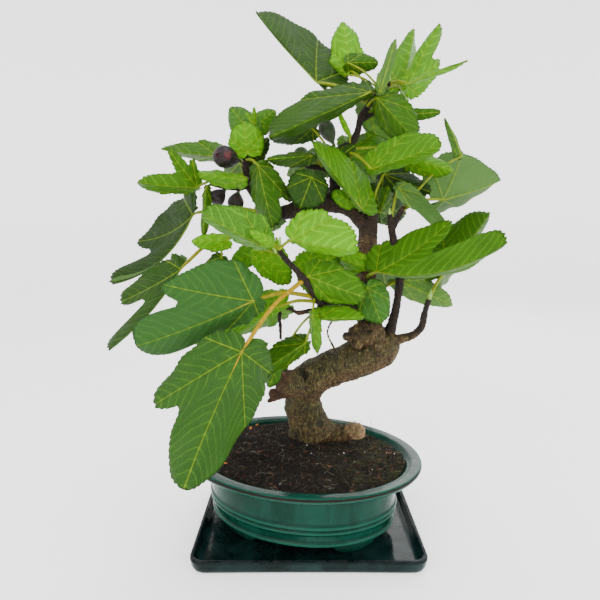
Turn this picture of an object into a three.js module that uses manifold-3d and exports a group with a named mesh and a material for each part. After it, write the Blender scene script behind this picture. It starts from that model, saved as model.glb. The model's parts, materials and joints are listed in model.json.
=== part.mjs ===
// A small edible fig grown as a bonsai: a bent trunk with its limbs and twigs, leaves on their
// stalks, young figs, the soil, an oval glazed pot on four feet, and a rectangular drip saucer.
// Millimetres, +Z up. The origin is on the surface that the saucer stands on, under the middle of
// the pot. +X is to the right and -Y to the front.
import * as THREE from 'three';
import { mergeVertices } from 'three/addons/utils/BufferGeometryUtils.js';
import Module from 'manifold-3d';

const wasm = await Module();
wasm.setup();

// ---------------------------------------------------------------- driving dimensions
const GAP = 0.35; // clearance between pieces that touch

const POT_HALF_LENGTH = 140; // half the long way across the rim
const POT_HALF_WIDTH = 111; // half the short way across the rim
const POT_TURN = -17 * Math.PI / 180; // the oval's long way, turned from +X
const POT_RIM_Z = 95;
const POT_SEGMENTS = 36;
const FOOT_HEIGHT = 9;
const DRAIN_X = 44; // distance of each drain hole from the middle, along the oval
const DRAIN_RADIUS = 8;

const SAUCER_LENGTH = 252;
const SAUCER_WIDTH = 194;
const SAUCER_HEIGHT = 16.4;
const SAUCER_FLOOR = 6;
const SAUCER_FLARE = 3.5; // how far each wall leans out from bottom to top
const SAUCER_WALL = 5;
const SAUCER_CORNER = 12;
const SAUCER_X = 7.5; // the saucer's middle, to the right of the pot's

const SOIL_EDGE_Z = 88;
const SOIL_MOUND_Z = 102;
const SCREEN_THICKNESS = 1.2;
const SCREEN_RADIUS = 15;

const BLADE_THICKNESS = 1.1;
const CREASE = 0.02; // roundness of the fold along the midrib, as a share of the blade
const HALF_CURL = 0.12; // how much each half of a blade curls back towards its margin
const STALK_CLEAR = 1.2; // a stalk starts this far outside its twig

const FOOT_Z = SAUCER_FLOOR + GAP;
const POT_BASE_Z = FOOT_Z + FOOT_HEIGHT - 1;
const POT_FLOOR_Z = POT_BASE_Z + 6.5;
const WIDE = POT_HALF_LENGTH - POT_HALF_WIDTH;

// ---------------------------------------------------------------- solids
// Turns a closed three.js geometry into a solid that can be cut and joined.
function solid(geometry) {
  const bare = geometry.clone();
  bare.deleteAttribute('normal');
  bare.deleteAttribute('uv');
  const merged = mergeVertices(bare, 1e-4);
  return new wasm.Manifold(new wasm.Mesh({
    numProp: 3,
    vertProperties: new Float32Array(merged.attributes.position.array),
    triVerts: new Uint32Array(merged.index.array),
  }));
}

// A boolean can leave crumbs: the largest body is the piece.
function largestBody(shape) {
  const bodies = shape.decompose();
  return bodies.reduce((best, body) => (body.volume() > best.volume() ? body : best));
}

function geometryOf(shape) {
  const mesh = largestBody(shape).getMesh();
  const geometry = new THREE.BufferGeometry();
  geometry.setAttribute('position', new THREE.BufferAttribute(new Float32Array(mesh.vertProperties), 3));
  geometry.setIndex(new THREE.BufferAttribute(new Uint32Array(mesh.triVerts), 1));
  return geometry;
}

function unionOf(shapes) {
  return shapes.reduce((whole, shape) => whole.add(shape));
}

// A closed skin over rings of equally many points, with a flat or coned cap at each end.
function loft(rings, firstCap, lastCap) {
  const sides = rings[0].length;
  const points = rings.flat().concat([firstCap, lastCap]);
  const first = points.length - 2;
  const last = points.length - 1;
  const index = [];
  for (let ring = 0; ring < rings.length - 1; ring++) {
    for (let side = 0; side < sides; side++) {
      const next = (side + 1) % sides;
      const a = ring * sides + side;
      const b = ring * sides + next;
      index.push(a, b, b + sides, a, b + sides, a + sides);
    }
  }
  const top = (rings.length - 1) * sides;
  for (let side = 0; side < sides; side++) {
    const next = (side + 1) % sides;
    index.push(first, next, side);
    index.push(last, top + side, top + next);
  }
  const geometry = new THREE.BufferGeometry().setFromPoints(points);
  geometry.setIndex(index);
  return geometry;
}

// A tube whose radius changes along its way; each knot is [x, y, z, radius].
function taperedTube(knots, sides, stepsPerSpan, swell = 0) {
  const curve = new THREE.CatmullRomCurve3(knots.map(([x, y, z]) => new THREE.Vector3(x, y, z)));
  const steps = (knots.length - 1) * stepsPerSpan;
  const frames = curve.computeFrenetFrames(steps);
  const rings = [];
  for (let step = 0; step <= steps; step++) {
    const centre = curve.getPointAt(step / steps);
    const along = curve.getUtoTmapping(step / steps) * (knots.length - 1);
    const span = Math.min(Math.floor(along), knots.length - 2);
    const radius = THREE.MathUtils.lerp(knots[span][3], knots[span + 1][3], along - span) + swell;
    const ring = [];
    for (let side = 0; side < sides; side++) {
      const angle = side / sides * 2 * Math.PI;
      ring.push(centre.clone()
        .addScaledVector(frames.normals[step], Math.cos(angle) * radius)
        .addScaledVector(frames.binormals[step], Math.sin(angle) * radius));
    }
    rings.push(ring);
  }
  const start = curve.getPointAt(0).addScaledVector(frames.tangents[0], -swell);
  const end = curve.getPointAt(1).addScaledVector(frames.tangents[steps], swell);
  return solid(loft(rings, start, end));
}

// ---------------------------------------------------------------- pot, screens, soil, saucer
// An oval body of the given profile: [radius on the short way, height]. The long way is WIDE more,
// fading out towards the middle, and the whole is turned by POT_TURN.
function ovalBody(profile) {
  const geometry = new THREE.LatheGeometry(
    profile.map(([radius, height]) => new THREE.Vector2(radius, height)), POT_SEGMENTS);
  geometry.rotateX(Math.PI / 2);
  const position = geometry.attributes.position;
  for (let i = 0; i < position.count; i++) {
    const radius = Math.hypot(position.getX(i), position.getY(i));
    position.setX(i, position.getX(i) * (1 + WIDE / Math.max(radius, 55)));
  }
  geometry.rotateZ(POT_TURN);
  return solid(geometry);
}

function ovalPoint(angle, inset) {
  return new THREE.Vector2(
    (POT_HALF_LENGTH - inset) * Math.cos(angle), (POT_HALF_WIDTH - inset) * Math.sin(angle));
}

// One foot: a curved block that follows the oval under the pot's base.
function potFoot(angle, spread) {
  const outer = [];
  const inner = [];
  for (let step = 0; step <= 6; step++) {
    const along = angle + spread * (step / 3 - 1);
    const ease = Math.abs(step / 3 - 1) > 0.9 ? 3 : 0;
    outer.push(ovalPoint(along, 43 + ease));
    inner.unshift(ovalPoint(along, 55 - ease));
  }
  const block = new THREE.ExtrudeGeometry(new THREE.Shape(outer.concat(inner)),
    { depth: FOOT_HEIGHT, bevelEnabled: false });
  block.translate(0, 0, FOOT_Z);
  block.rotateZ(POT_TURN);
  return solid(block);
}

function drainPin(radius, bottom, top, side) {
  const pin = new THREE.CylinderGeometry(radius, radius, top - bottom, 20);
  pin.rotateX(Math.PI / 2);
  pin.translate(side * DRAIN_X, 0, (top + bottom) / 2);
  pin.rotateZ(POT_TURN);
  return solid(pin);
}

const POT_OUTSIDE = [
  [0, POT_BASE_Z], [68.5, POT_BASE_Z], [73, 19], [78, 23], [81.5, 25.2], [81.5, 27.6], [80.2, 29.5],
  [81.2, 37.4], [83.4, 39.4], [83.4, 41.4], [82.2, 42.8], [84, 44.8], [84, 47.2], [82.4, 49.4],
  [82.5, 78], [86, 82], [96, 85], [105.5, 87], [110, 90], [111, 93], [109.5, POT_RIM_Z],
];
const POT_INSIDE = [[98, POT_RIM_Z], [93, 91], [80, 82], [75.5, 74], [75.5, 50], [66, 26], [62, POT_FLOOR_Z]];

function makePot() {
  const body = ovalBody(POT_OUTSIDE.concat(POT_INSIDE, [[0, POT_FLOOR_Z]]));
  const feet = [0.62, Math.PI - 0.86, Math.PI + 0.86, -0.62].map((angle) => potFoot(angle, 0.34));
  const drains = [-1, 1].map((side) => drainPin(DRAIN_RADIUS, 0, 40, side));
  return unionOf([body].concat(feet)).subtract(unionOf(drains));
}

// A thin perforated disc that keeps the soil in over a drain hole.
function makeScreen(side) {
  const bottom = POT_FLOOR_Z + GAP;
  const disc = drainPin(SCREEN_RADIUS, bottom, bottom + SCREEN_THICKNESS, side);
  const holes = [];
  for (let hole = 0; hole < 7; hole++) {
    const angle = hole / 6 * 2 * Math.PI;
    const reach = hole === 6 ? 0 : 6.5;
    const pin = new THREE.CylinderGeometry(1.9, 1.9, 20, 6);
    pin.rotateX(Math.PI / 2);
    pin.translate(side * DRAIN_X + reach * Math.cos(angle), reach * Math.sin(angle), bottom);
    pin.rotateZ(POT_TURN);
    holes.push(solid(pin));
  }
  return disc.subtract(unionOf(holes));
}

function makeSoil(woodRoom) {
  const inside = POT_INSIDE.slice(1).map(([radius, height]) => [radius - GAP, height]);
  const floor = inside.pop();
  const bottom = POT_FLOOR_Z + GAP;
  const profile = [
    [0, bottom], [floor[0], bottom], ...inside.reverse(), [92, SOIL_EDGE_Z + 3.4], [84, SOIL_EDGE_Z + 4],
    [60, SOIL_MOUND_Z - 6], [38, SOIL_MOUND_Z], [0, SOIL_MOUND_Z + 2],
  ];
  const screens = [-1, 1].map((side) => (
    drainPin(SCREEN_RADIUS + GAP, 0, bottom + SCREEN_THICKNESS + GAP, side)));
  return ovalBody(profile).subtract(unionOf(screens)).subtract(woodRoom);
}

function roundedRectangle(length, width, corner, height) {
  const shape = new THREE.Shape();
  const [x, y] = [length / 2, width / 2];
  shape.moveTo(x, y - corner);
  shape.absarc(x - corner, y - corner, corner, 0, Math.PI / 2);
  shape.absarc(-x + corner, y - corner, corner, Math.PI / 2, Math.PI);
  shape.absarc(-x + corner, -y + corner, corner, Math.PI, 1.5 * Math.PI);
  shape.absarc(x - corner, -y + corner, corner, 1.5 * Math.PI, 2 * Math.PI);
  const ring = shape.extractPoints(4).shape.slice(0, -1);
  return ring.map((point) => new THREE.Vector3(point.x + SAUCER_X, point.y, height));
}

function makeSaucer() {
  const steps = [
    // inset from the outer top edge, height
    [SAUCER_FLARE + 1.5, 0], [SAUCER_FLARE, 1.5], [0.4, SAUCER_HEIGHT - 1.2], [1.2, SAUCER_HEIGHT],
    [SAUCER_WALL - 1.2, SAUCER_HEIGHT], [SAUCER_WALL, SAUCER_HEIGHT - 1.2],
    [SAUCER_WALL + SAUCER_FLARE, SAUCER_FLOOR + 2], [SAUCER_WALL + SAUCER_FLARE + 2, SAUCER_FLOOR],
  ];
  const rings = steps.map(([inset, height]) => roundedRectangle(SAUCER_LENGTH - 2 * inset,
    SAUCER_WIDTH - 2 * inset, Math.max(SAUCER_CORNER - inset, 2.5), height));
  return solid(loft(rings, new THREE.Vector3(SAUCER_X, 0, 0), new THREE.Vector3(SAUCER_X, 0, SAUCER_FLOOR)));
}

// ---------------------------------------------------------------- wood
// Limbs, twigs, cut stubs and surface roots, from the thick end to the thin one.
const WOOD = [
  ['trunk', 10, [
    [12, 30, 65, 33], [13, 29, 95, 31], [9, 27, 116, 25], [3, 25, 138, 21.5], [3, 23, 157, 21],
    [9, 21, 174, 22], [28, 19, 186, 21], [52, 17, 197, 21.5], [77, 16, 206, 22], [95, 16, 217, 22],
    [98, 16, 231, 17],
  ]],
  ['upright', 10, [
    [84, 17, 222, 21], [80, 16, 247, 15], [77, 14, 273, 12], [75, 14, 306, 11.5], [76, 16, 339, 11],
    [77, 18, 359, 10.5], [79, 19, 374, 10],
  ]],
  ['left_limb', 8, [
    [75, 18, 359, 9.5], [56, 18, 379, 10.5], [37, 15, 385, 10.5], [16, 11, 383, 10.5],
    [-4, 7, 378, 9.5], [-22, 4, 374, 8], [-38, 5, 377, 6], [-51, 9, 389, 5], [-61, 12, 408, 4.4],
    [-63, 13, 428, 4], [-65, 15, 448, 3.2],
  ]],
  ['low_left_twig', 6, [
    [-29, 5, 375, 5], [-44, 3, 370, 3.8], [-62, 0, 361, 3.2], [-78, -4, 352, 2.8],
    [-91, -7, 346, 2.2],
  ]],
  ['top_limb', 7, [
    [42, 15, 384, 7.5], [38, 17, 404, 6.5], [38, 18, 425, 6.5], [40, 19, 438, 7],
    [49, 20, 447, 5.5], [58, 22, 453, 4.6], [64, 23, 467, 4], [67, 23, 480, 4.2],
    [73, 23, 490, 4.2], [82, 22, 502, 3.8], [90, 20, 509, 3.4], [99, 15, 517, 2.6],
  ]],
  ['top_stub', 6, [
    [70, 23, 479, 2.8], [80, 22, 484, 2.4], [91, 20, 487, 2],
  ]],
  ['right_twig_a', 6, [
    [98, 12, 219, 9], [104, 11, 236, 6.5], [109, 8, 260, 5], [112, 6, 284, 4.6], [113, 4, 309, 4.4],
    [107, 2, 330, 4.2], [103, 0, 346, 4.2], [100, 0, 361, 4], [99, 0, 373, 2.6],
  ]],
  ['right_twig_fork', 6, [
    [103, 0, 357, 3.2], [108, -1, 370, 2.8], [114, -2, 380, 2.4],
  ]],
  ['right_twig_b', 6, [
    [93, 12, 222, 8], [113, 9, 227, 6], [129, 5, 233, 4.6], [138, 0, 244, 4.2], [140, -3, 258, 3.8],
    [144, -6, 277, 3.2],
  ]],
  ['front_twig', 6, [
    [78, 14, 256, 8], [60, 0, 265, 6.5], [41, -14, 271, 5.2], [24, -28, 274, 4.8],
    [14, -38, 285, 4.4], [9, -44, 296, 4.2], [1, -50, 305, 4.2], [-6, -50, 314, 3.6],
    [-14, -50, 322, 3.2], [-21, -51, 331, 2.8], [-25, -52, 342, 2.2],
  ]],
  ['front_stub', 6, [
    [27, -26, 269, 4], [11, -32, 268, 3.2], [-4, -36, 266, 2.8],
  ]],
  ['wire_root', 5, [
    [36, -16, 257, 1.6], [31, -12, 247, 1.2], [30, -6, 236, 1.2], [38, 4, 218, 1.6],
  ]],
  ['stub_upper', 6, [
    [-2, 4, 182, 9], [-18, -4, 187, 8], [-32, -8, 189, 6.5],
  ]],
  ['stub_lower', 6, [
    [-2, 8, 164, 8], [-21, 2, 164, 6], [-37, -2, 166, 5],
  ]],
  ['surface_root', 8, [
    [35, 20, 109, 16], [54, 14, 114, 13], [66, 8, 118, 11], [75, 2, 114, 8],
  ]],
  ['fig_twig', 6, [
    [-59, 12, 406, 3.6], [-71, 13, 402, 3], [-84, 11, 402, 2.6], [-100, 9, 405, 2],
  ]],
  ['centre_twig', 6, [
    [38, 18, 420, 4], [23, 14, 424, 3.2], [7, 11, 426, 2.6], [-8, 8, 431, 2.2],
  ]],
  ['burl', 8, [
    [59, 2, 231, 12], [74, -1, 236, 14], [91, 2, 231, 12],
  ]],
];

// Each row of WOOD is a limb: its name, its sides, and its knots [x, y, z, radius].
function makeWood(swell) {
  return unionOf(WOOD.map(([, sides, knots]) => taperedTube(knots, sides, sides > 8 ? 2 : 1, swell)));
}

// ---------------------------------------------------------------- leaves
// One row for each leaf: its name; where its stalk leaves the twig, where the blade begins and where
// it ends; the left and right halves as [outline, turn back from the front in degrees, breadth];
// how much the midrib arches and how much it sweeps sideways, as shares of the blade's length.
const LEAVES = [
  ['front_big', [1, -50, 302], [-56, -112, 242], [-106, -146, 125],
    ['plain', 45], ['lobed', 28], 0.04, 0.02],
  ['front_left_blue', [11, -37, 284], [-48, -76, 285], [-168, -72, 238],
    ['slim', 80], ['low', 14], 0.05, 0],
  ['under_left', [17, -34, 278], [-25, -42, 274], [-121, -36, 235],
    ['plain', 58], ['plain', 62], 0.05, 0],
  ['far_left_upper', [-44, 4, 374], [-125, 18, 372], [-230, 34, 289],
    ['slim', 84], ['low', 50], 0.05, -0.1],
  ['far_left_lower', [-78, -4, 352], [-133, -16, 312], [-203, -52, 228],
    ['plain', 80], ['deep', 50], 0.05, -0.03],
  ['mid_left_top', [-26, -52, 337], [-38, -68, 339], [-93, -96, 371],
    ['plain', 68], ['plain', 28], 0.05, 0],
  ['lime_centre', [-23, -52, 335], [-9, -62, 345], [54, -92, 335],
    ['round', 22], ['plain', 72], 0.05, 0],
  ['mid_left_low', [-18, -50, 325], [-43, -26, 333], [-13, -16, 295],
    ['plain', 20], ['plain', 20], 0.04, 0],
  ['mid_right', [2, -48, 303], [7, -50, 307], [65, -66, 287], ['plain', 28], ['plain', 38], 0.06, 0],
  ['low_right_small', [34, -20, 269], [15, -45, 262], [65, -60, 266],
    ['plain', 55], ['plain', 72], 0.06, 0],
  ['low_folded', [14, -37, 283], [11, -64, 268], [16, -66, 227], ['plain', 60], ['plain', 75], 0.04, 0],
  ['low_dark', [22, -29, 273], [4, -34, 233], [-45, -52, 204], ['plain', 52], ['plain', 56], 0.05, 0],
  ['back_of_mid', [11, -40, 292], [2, -20, 309], [50, 10, 331], ['plain', 40], ['plain', 40], 0.04, 0],
  ['by_trunk', [77, 14, 318], [80, 0, 310], [41, -6, 325], ['plain', 50], ['plain', 30], 0.04, 0],
  ['right_big', [72, 12, 295], [83, -16, 309], [198, -84, 342],
    ['deep', 46], ['plain', 72, 0.5], 0.06, 0.08],
  ['grey_round', [75, 13, 278], [74, -12, 291], [89, -18, 251], ['round', 20], ['round', 25], 0.04, 0],
  ['right_low', [76, 13, 270], [113, 6, 297], [176, 8, 268], ['plain', 54], ['plain', 56], 0.08, 0],
  ['right_under', [144, -6, 277], [165, 10, 305], [231, 52, 377],
    ['plain', 50], ['plain', 60], 0.04, 0],
  ['right_grey', [113, -2, 377], [162, 18, 389], [241, 52, 414],
    ['round', 8, 1.2], ['round', 55], 0.04, 0],
  ['right_hanging', [101, 0, 370], [107, -2, 401], [165, 5, 350],
    ['slim', -48], ['slim', -50], 0.06, 0],
  ['right_dark', [79, 19, 374], [94, 20, 418], [147, 12, 397], ['plain', 45], ['plain', 55], 0.04, 0],
  ['right_top', [47, 19, 443], [74, -22, 419], [135, -70, 437],
    ['plain', 38], ['plain', 66, 0.6], 0.05, 0],
  ['right_top_lime', [51, 20, 445], [118, 4, 434], [166, -6, 419],
    ['plain', 50], ['plain', 52], 0.05, 0],
  ['right_top_back', [49, 20, 447], [59, 40, 448], [141, 72, 462],
    ['plain', 52], ['plain', 50], 0.04, 0],
  ['top_mid', [73, 23, 491], [82, 2, 497], [115, -36, 449], ['plain', 24], ['plain', 66], 0.05, 0],
  ['top_right_a', [94, 18, 511], [114, 38, 517], [135, 72, 593], ['plain', 55], ['plain', 60], 0.04, 0],
  ['top_right_b', [99, 15, 517], [116, 8, 511], [150, 12, 578], ['slim', 58], ['low', 42], 0.04, 0],
  ['top_right_c', [98, 16, 515], [112, -12, 508], [171, -26, 527], ['slim', 70], ['slim', 78], 0.06, 0],
  ['top_edge_on', [92, 19, 510], [85, 0, 503], [100, -4, 556], ['slim', 50], ['slim', 55], 0.03, 0],
  ['top_left_big', [76, 23, 495], [17, 24, 519], [-56, 74, 613], ['plain', 88], ['plain', 52], 0.04, 0],
  ['top_lime', [83, 22, 503], [56, 44, 538], [49, 66, 599], ['wedge', 30], ['wedge', 30], 0.04, 0],
  ['top_front_big', [87, 21, 506], [73, -6, 501], [-34, -36, 449],
    ['wedge', 80, 0.6], ['wedge', 46], 0.07, 0],
  ['left_lime_round', [-64, 14, 443], [-60, 4, 440], [-63, 2, 473],
    ['round', 10, 1.2], ['round', 10, 1.2], 0.04, 0],
  ['left_back_a', [-65, 15, 447], [-60, 36, 467], [-85, 58, 500],
    ['plain', 20], ['plain', 20], 0.04, 0],
  ['left_back_b', [-63, 14, 441], [-55, 66, 479], [-33, 84, 503],
    ['plain', 20], ['plain', 20], 0.04, 0],
  ['left_point', [-63, 13, 426], [-95, 30, 439], [-167, 46, 449],
    ['plain', 82], ['plain', 52], 0.04, 0],
  ['left_lobed', [-62, 12, 417], [-115, -6, 401], [-167, -48, 403],
    ['plain', 74], ['spread', 4], 0.04, 0],
  ['left_lime', [-60, 12, 411], [-63, -20, 407], [-109, -30, 414],
    ['plain', 58], ['plain', 66], 0.05, 0],
  ['left_dark_small', [-64, 14, 437], [-59, 18, 432], [-37, 18, 458],
    ['plain', 40], ['plain', 40], 0.04, 0],
  ['left_hanging', [-63, 13, 433], [-47, -12, 424], [-30, -34, 358],
    ['lobed', 44], ['plain', 56], 0.06, 0],
  ['left_narrow', [-100, 9, 405], [-105, -4, 401], [-108, -12, 348],
    ['slim', 55], ['slim', 60], 0.04, 0],
  ['left_low_small', [-69, -1, 358], [-80, -24, 344], [-118, -28, 343],
    ['plain', 35], ['plain', 60], 0.04, 0],
  ['left_low_hanging', [-91, -7, 346], [-88, -14, 325], [-110, -18, 302],
    ['plain', 30], ['plain', 40], 0.04, 0],
  ['centre_dark', [38, 18, 431], [12, 14, 467], [-37, 26, 459], ['plain', 55], ['plain', 60], 0.04, 0],
  ['centre_round', [19, 10, 384], [11, -14, 411], [-2, -22, 377],
    ['round', 10, 1.2], ['round', 10, 1.2], 0.04, 0],
  ['centre_fold', [24, 14, 424], [11, -12, 434], [-37, -18, 429],
    ['plain', 62], ['plain', 66], 0.04, 0],
  ['centre_big', [72, 19, 373], [66, -14, 377], [10, -28, 446], ['slim', 82], ['round', 50], 0.05, 0],
  ['centre_low', [56, 18, 377], [58, 3, 385], [33, -1, 396], ['plain', 20], ['plain', 20], 0.04, 0],
];

// Half outlines of a blade: [angle from the midrib in degrees, reach], for a blade one long.
const HALF_BLADES = {
  plain: [[0, 1], [22, 0.80], [50, 0.55], [92, 0.34], [180, 0.05]],
  round: [[0, 1], [24, 0.86], [58, 0.60], [100, 0.42], [180, 0.06]],
  wedge: [[0, 1], [16, 0.88], [38, 0.57], [80, 0.27], [180, 0.04]],
  lobed: [[0, 1], [14, 0.87], [28, 0.60], [40, 0.75], [62, 0.51], [98, 0.29], [180, 0.05]],
  low: [[0, 1], [11, 0.85], [21, 0.59], [32, 0.74], [52, 0.55], [98, 0.28], [180, 0.05]],
  deep: [[0, 1], [10, 0.84], [23, 0.48], [37, 0.76], [56, 0.54], [96, 0.26], [180, 0.05]],
  spread: [[0, 1], [10, 0.82], [31, 0.45], [48, 0.75], [69, 0.39], [82, 0.45], [110, 0.25], [180, 0.05]],
  slim: [[0, 1], [14, 0.66], [40, 0.31], [180, 0.04]],
};

// The radius of the wood where a stalk leaves it: that of the nearest knot.
function twigRadius(place) {
  const knots = WOOD.flatMap(([, , limb]) => limb);
  const away = ([x, y, z]) => Math.hypot(place.x - x, place.y - y, place.z - z);
  return knots.reduce((best, knot) => (away(knot) < away(best) ? knot : best))[3];
}

// Gives the blade's middle surface: a point at (along, across), in blade lengths, with each half
// turned back from the front by its own angle about the midrib.
function bladeSurface(base, tip, left, right, droop, sweep) {
  const length = base.distanceTo(tip);
  const midrib = tip.clone().sub(base).normalize();
  const front = new THREE.Vector3(0, -1, 0);
  const normal = front.addScaledVector(midrib, -front.dot(midrib)).normalize();
  const side = midrib.clone().cross(normal);
  const leftTurn = THREE.MathUtils.degToRad(left[1]);
  const rightTurn = THREE.MathUtils.degToRad(right[1]);
  const lean = (rightTurn - leftTurn) / 2;
  const arch = normal.clone().multiplyScalar(Math.cos(lean)).addScaledVector(side, Math.sin(lean));
  return (along, across) => {
    const half = across > 0 ? right : left;
    const turn = across > 0 ? rightTurn : leftTurn;
    const reach = across * (half[2] ?? 1) * length;
    const rounded = Math.hypot(reach, CREASE * length) - CREASE * length;
    const bow = 4 * length * along * (1 - along);
    return base.clone()
      .addScaledVector(midrib, along * length)
      .addScaledVector(arch, droop * bow - HALF_CURL * reach * reach / length)
      .addScaledVector(side, reach * Math.cos(turn) + sweep * bow)
      .addScaledVector(normal, -rounded * Math.sin(turn));
  };
}

// A blade is a thin closed sheet: spokes from the stalk's end to the margin, with one ring between.
function makeBlade(base, tip, left, right, droop, sweep) {
  const surface = bladeSurface(base, tip, left, right, droop, sweep);
  const spokes = HALF_BLADES[right[0]].map(([angle, reach]) => [angle, reach])
    .concat(HALF_BLADES[left[0]].slice(1, -1).reverse().map(([angle, reach]) => [-angle, reach]));
  const points = [surface(0, 0)];
  for (const share of [0.55, 1]) {
    for (const [angle, reach] of spokes) {
      const turn = THREE.MathUtils.degToRad(angle);
      points.push(surface(share * reach * Math.cos(turn), share * reach * Math.sin(turn)));
    }
  }
  const count = spokes.length;
  const faces = [];
  for (let spoke = 0; spoke < count; spoke++) {
    const next = (spoke + 1) % count;
    const [a, b, c, d] = [1 + spoke, 1 + next, 1 + count + spoke, 1 + count + next];
    faces.push([0, b, a], [a, b, d], [a, d, c]);
  }
  const middle = new THREE.BufferGeometry().setFromPoints(points);
  middle.setIndex(faces.flat());
  middle.computeVertexNormals();
  const sheet = [];
  for (const face of [0.5, -0.5]) {
    points.forEach((point, i) => {
      const normal = new THREE.Vector3().fromBufferAttribute(middle.attributes.normal, i);
      sheet.push(point.clone().addScaledVector(normal, face * BLADE_THICKNESS));
    });
  }
  const under = points.length;
  const index = faces.flatMap(([a, b, c]) => [a, b, c, a + under, c + under, b + under]);
  for (let spoke = 0; spoke < count; spoke++) {
    const a = 1 + count + spoke;
    const b = 1 + count + (spoke + 1) % count;
    index.push(a, b, b + under, a, b + under, a + under);
  }
  const geometry = new THREE.BufferGeometry().setFromPoints(sheet);
  geometry.setIndex(index);
  let blade = solid(geometry);
  if (blade.volume() < 0) {
    geometry.setIndex(index.map((_, i) => index[i - i % 3 + 2 - i % 3]));
    blade = solid(geometry);
  }
  return blade;
}

// The stalk rises a little from the twig and runs a short way into the blade.
function makeStalk(foot, base, tip) {
  const length = base.distanceTo(tip);
  const radius = 0.9 + length / 120;
  const way = base.clone().sub(foot);
  const rise = foot.clone().lerp(base, 0.5).add(new THREE.Vector3(0, 0, way.length() * 0.1));
  const end = base.clone().lerp(tip, 0.05);
  const path = new THREE.CatmullRomCurve3([foot, rise, base, end]);
  const square = new THREE.Shape([[1, 0], [0, 1], [-1, 0], [0, -1]].map(([x, y]) => (
    new THREE.Vector2(x * radius, y * radius))));
  return solid(new THREE.ExtrudeGeometry(square, { steps: 3, extrudePath: path, bevelEnabled: false }));
}

function makeLeaf([, foot, base, tip, left, right, droop, sweep], woodRoom) {
  const [twig, start, end] = [foot, base, tip].map((place) => new THREE.Vector3(...place));
  const outside = twigRadius(twig) + STALK_CLEAR;
  const from = twig.clone().addScaledVector(start.clone().sub(twig).normalize(), outside);
  const blade = makeBlade(start, end, left, right, droop, sweep);
  return blade.add(makeStalk(from, start, end)).subtract(woodRoom);
}

// ---------------------------------------------------------------- figs
// Each fig: its name, where it joins the twig, its eye end and its radius.
const FIGS = [
  ['purple_left', [-68, 10, 431], [-89, -26, 433], 12],
  ['left_low', [-84, 11, 402], [-101, 6, 385], 9.5],
  ['left_back', [-71, 13, 401], [-78, 22, 379], 9.5],
  ['centre_top', [38, 21, 448], [25, 36, 480], 9.5],
  ['centre_green', [8, 11, 426], [-4, 30, 446], 9],
];

// A young fig: a short neck that swells to a blunt end with a small eye.
function makeFig([, foot, eye, radius], woodRoom) {
  const [from, end] = [foot, eye].map((place) => new THREE.Vector3(...place));
  const length = from.distanceTo(end);
  const profile = [
    [0, 0], [0.16, 0.01], [0.18, 0.16], [0.55, 0.32], [0.9, 0.48], [1, 0.66], [0.8, 0.89], [0.3, 0.99],
    [0, 1],
  ].map(([across, along]) => new THREE.Vector2(across * radius, along * length));
  const body = new THREE.LatheGeometry(profile, 9);
  const turn = new THREE.Quaternion().setFromUnitVectors(
    new THREE.Vector3(0, 1, 0), end.clone().sub(from).normalize());
  body.applyQuaternion(turn);
  body.translate(from.x, from.y, from.z);
  return solid(body).subtract(woodRoom);
}

// ---------------------------------------------------------------- assembly
const tree = new THREE.Group();

function addPiece(name, shape, color, roughness) {
  const material = new THREE.MeshStandardMaterial({ color, roughness, metalness: 0 });
  const mesh = new THREE.Mesh(geometryOf(shape), material);
  mesh.name = name;
  tree.add(mesh);
}

const wood = makeWood(0);
const woodRoom = makeWood(GAP);
addPiece('saucer', makeSaucer(), 0x1d4a44, 0.35);
addPiece('pot', makePot(), 0x1f6b55, 0.3);
addPiece('drain_screen_left', makeScreen(-1), 0x222222, 0.6);
addPiece('drain_screen_right', makeScreen(1), 0x222222, 0.6);
addPiece('soil', makeSoil(woodRoom), 0x2a1c14, 0.95);
addPiece('wood', wood, 0x5a4a30, 0.85);
for (const fig of FIGS) addPiece(`fig_${fig[0]}`, makeFig(fig, woodRoom), 0x3a2838, 0.5);
for (const leaf of LEAVES) addPiece(`leaf_${leaf[0]}`, makeLeaf(leaf, woodRoom), 0x3f7f1f, 0.55);

export default tree;
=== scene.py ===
"""A young edible fig grown as a bonsai, in a glazed oval pot on a drip saucer.

Laid out as an add-on: settings, one operator for each group of pieces, and one sidebar panel.
Tables and sizes are in millimetres and turned into metres where a mesh is made.
"""

import json
import math
from collections import namedtuple

import bmesh
import bpy
import numpy as np
from bpy.props import FloatProperty, FloatVectorProperty, IntProperty, PointerProperty
from bpy.types import Operator, Panel, PropertyGroup
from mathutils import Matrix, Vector, noise
from mathutils.kdtree import KDTree


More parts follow.
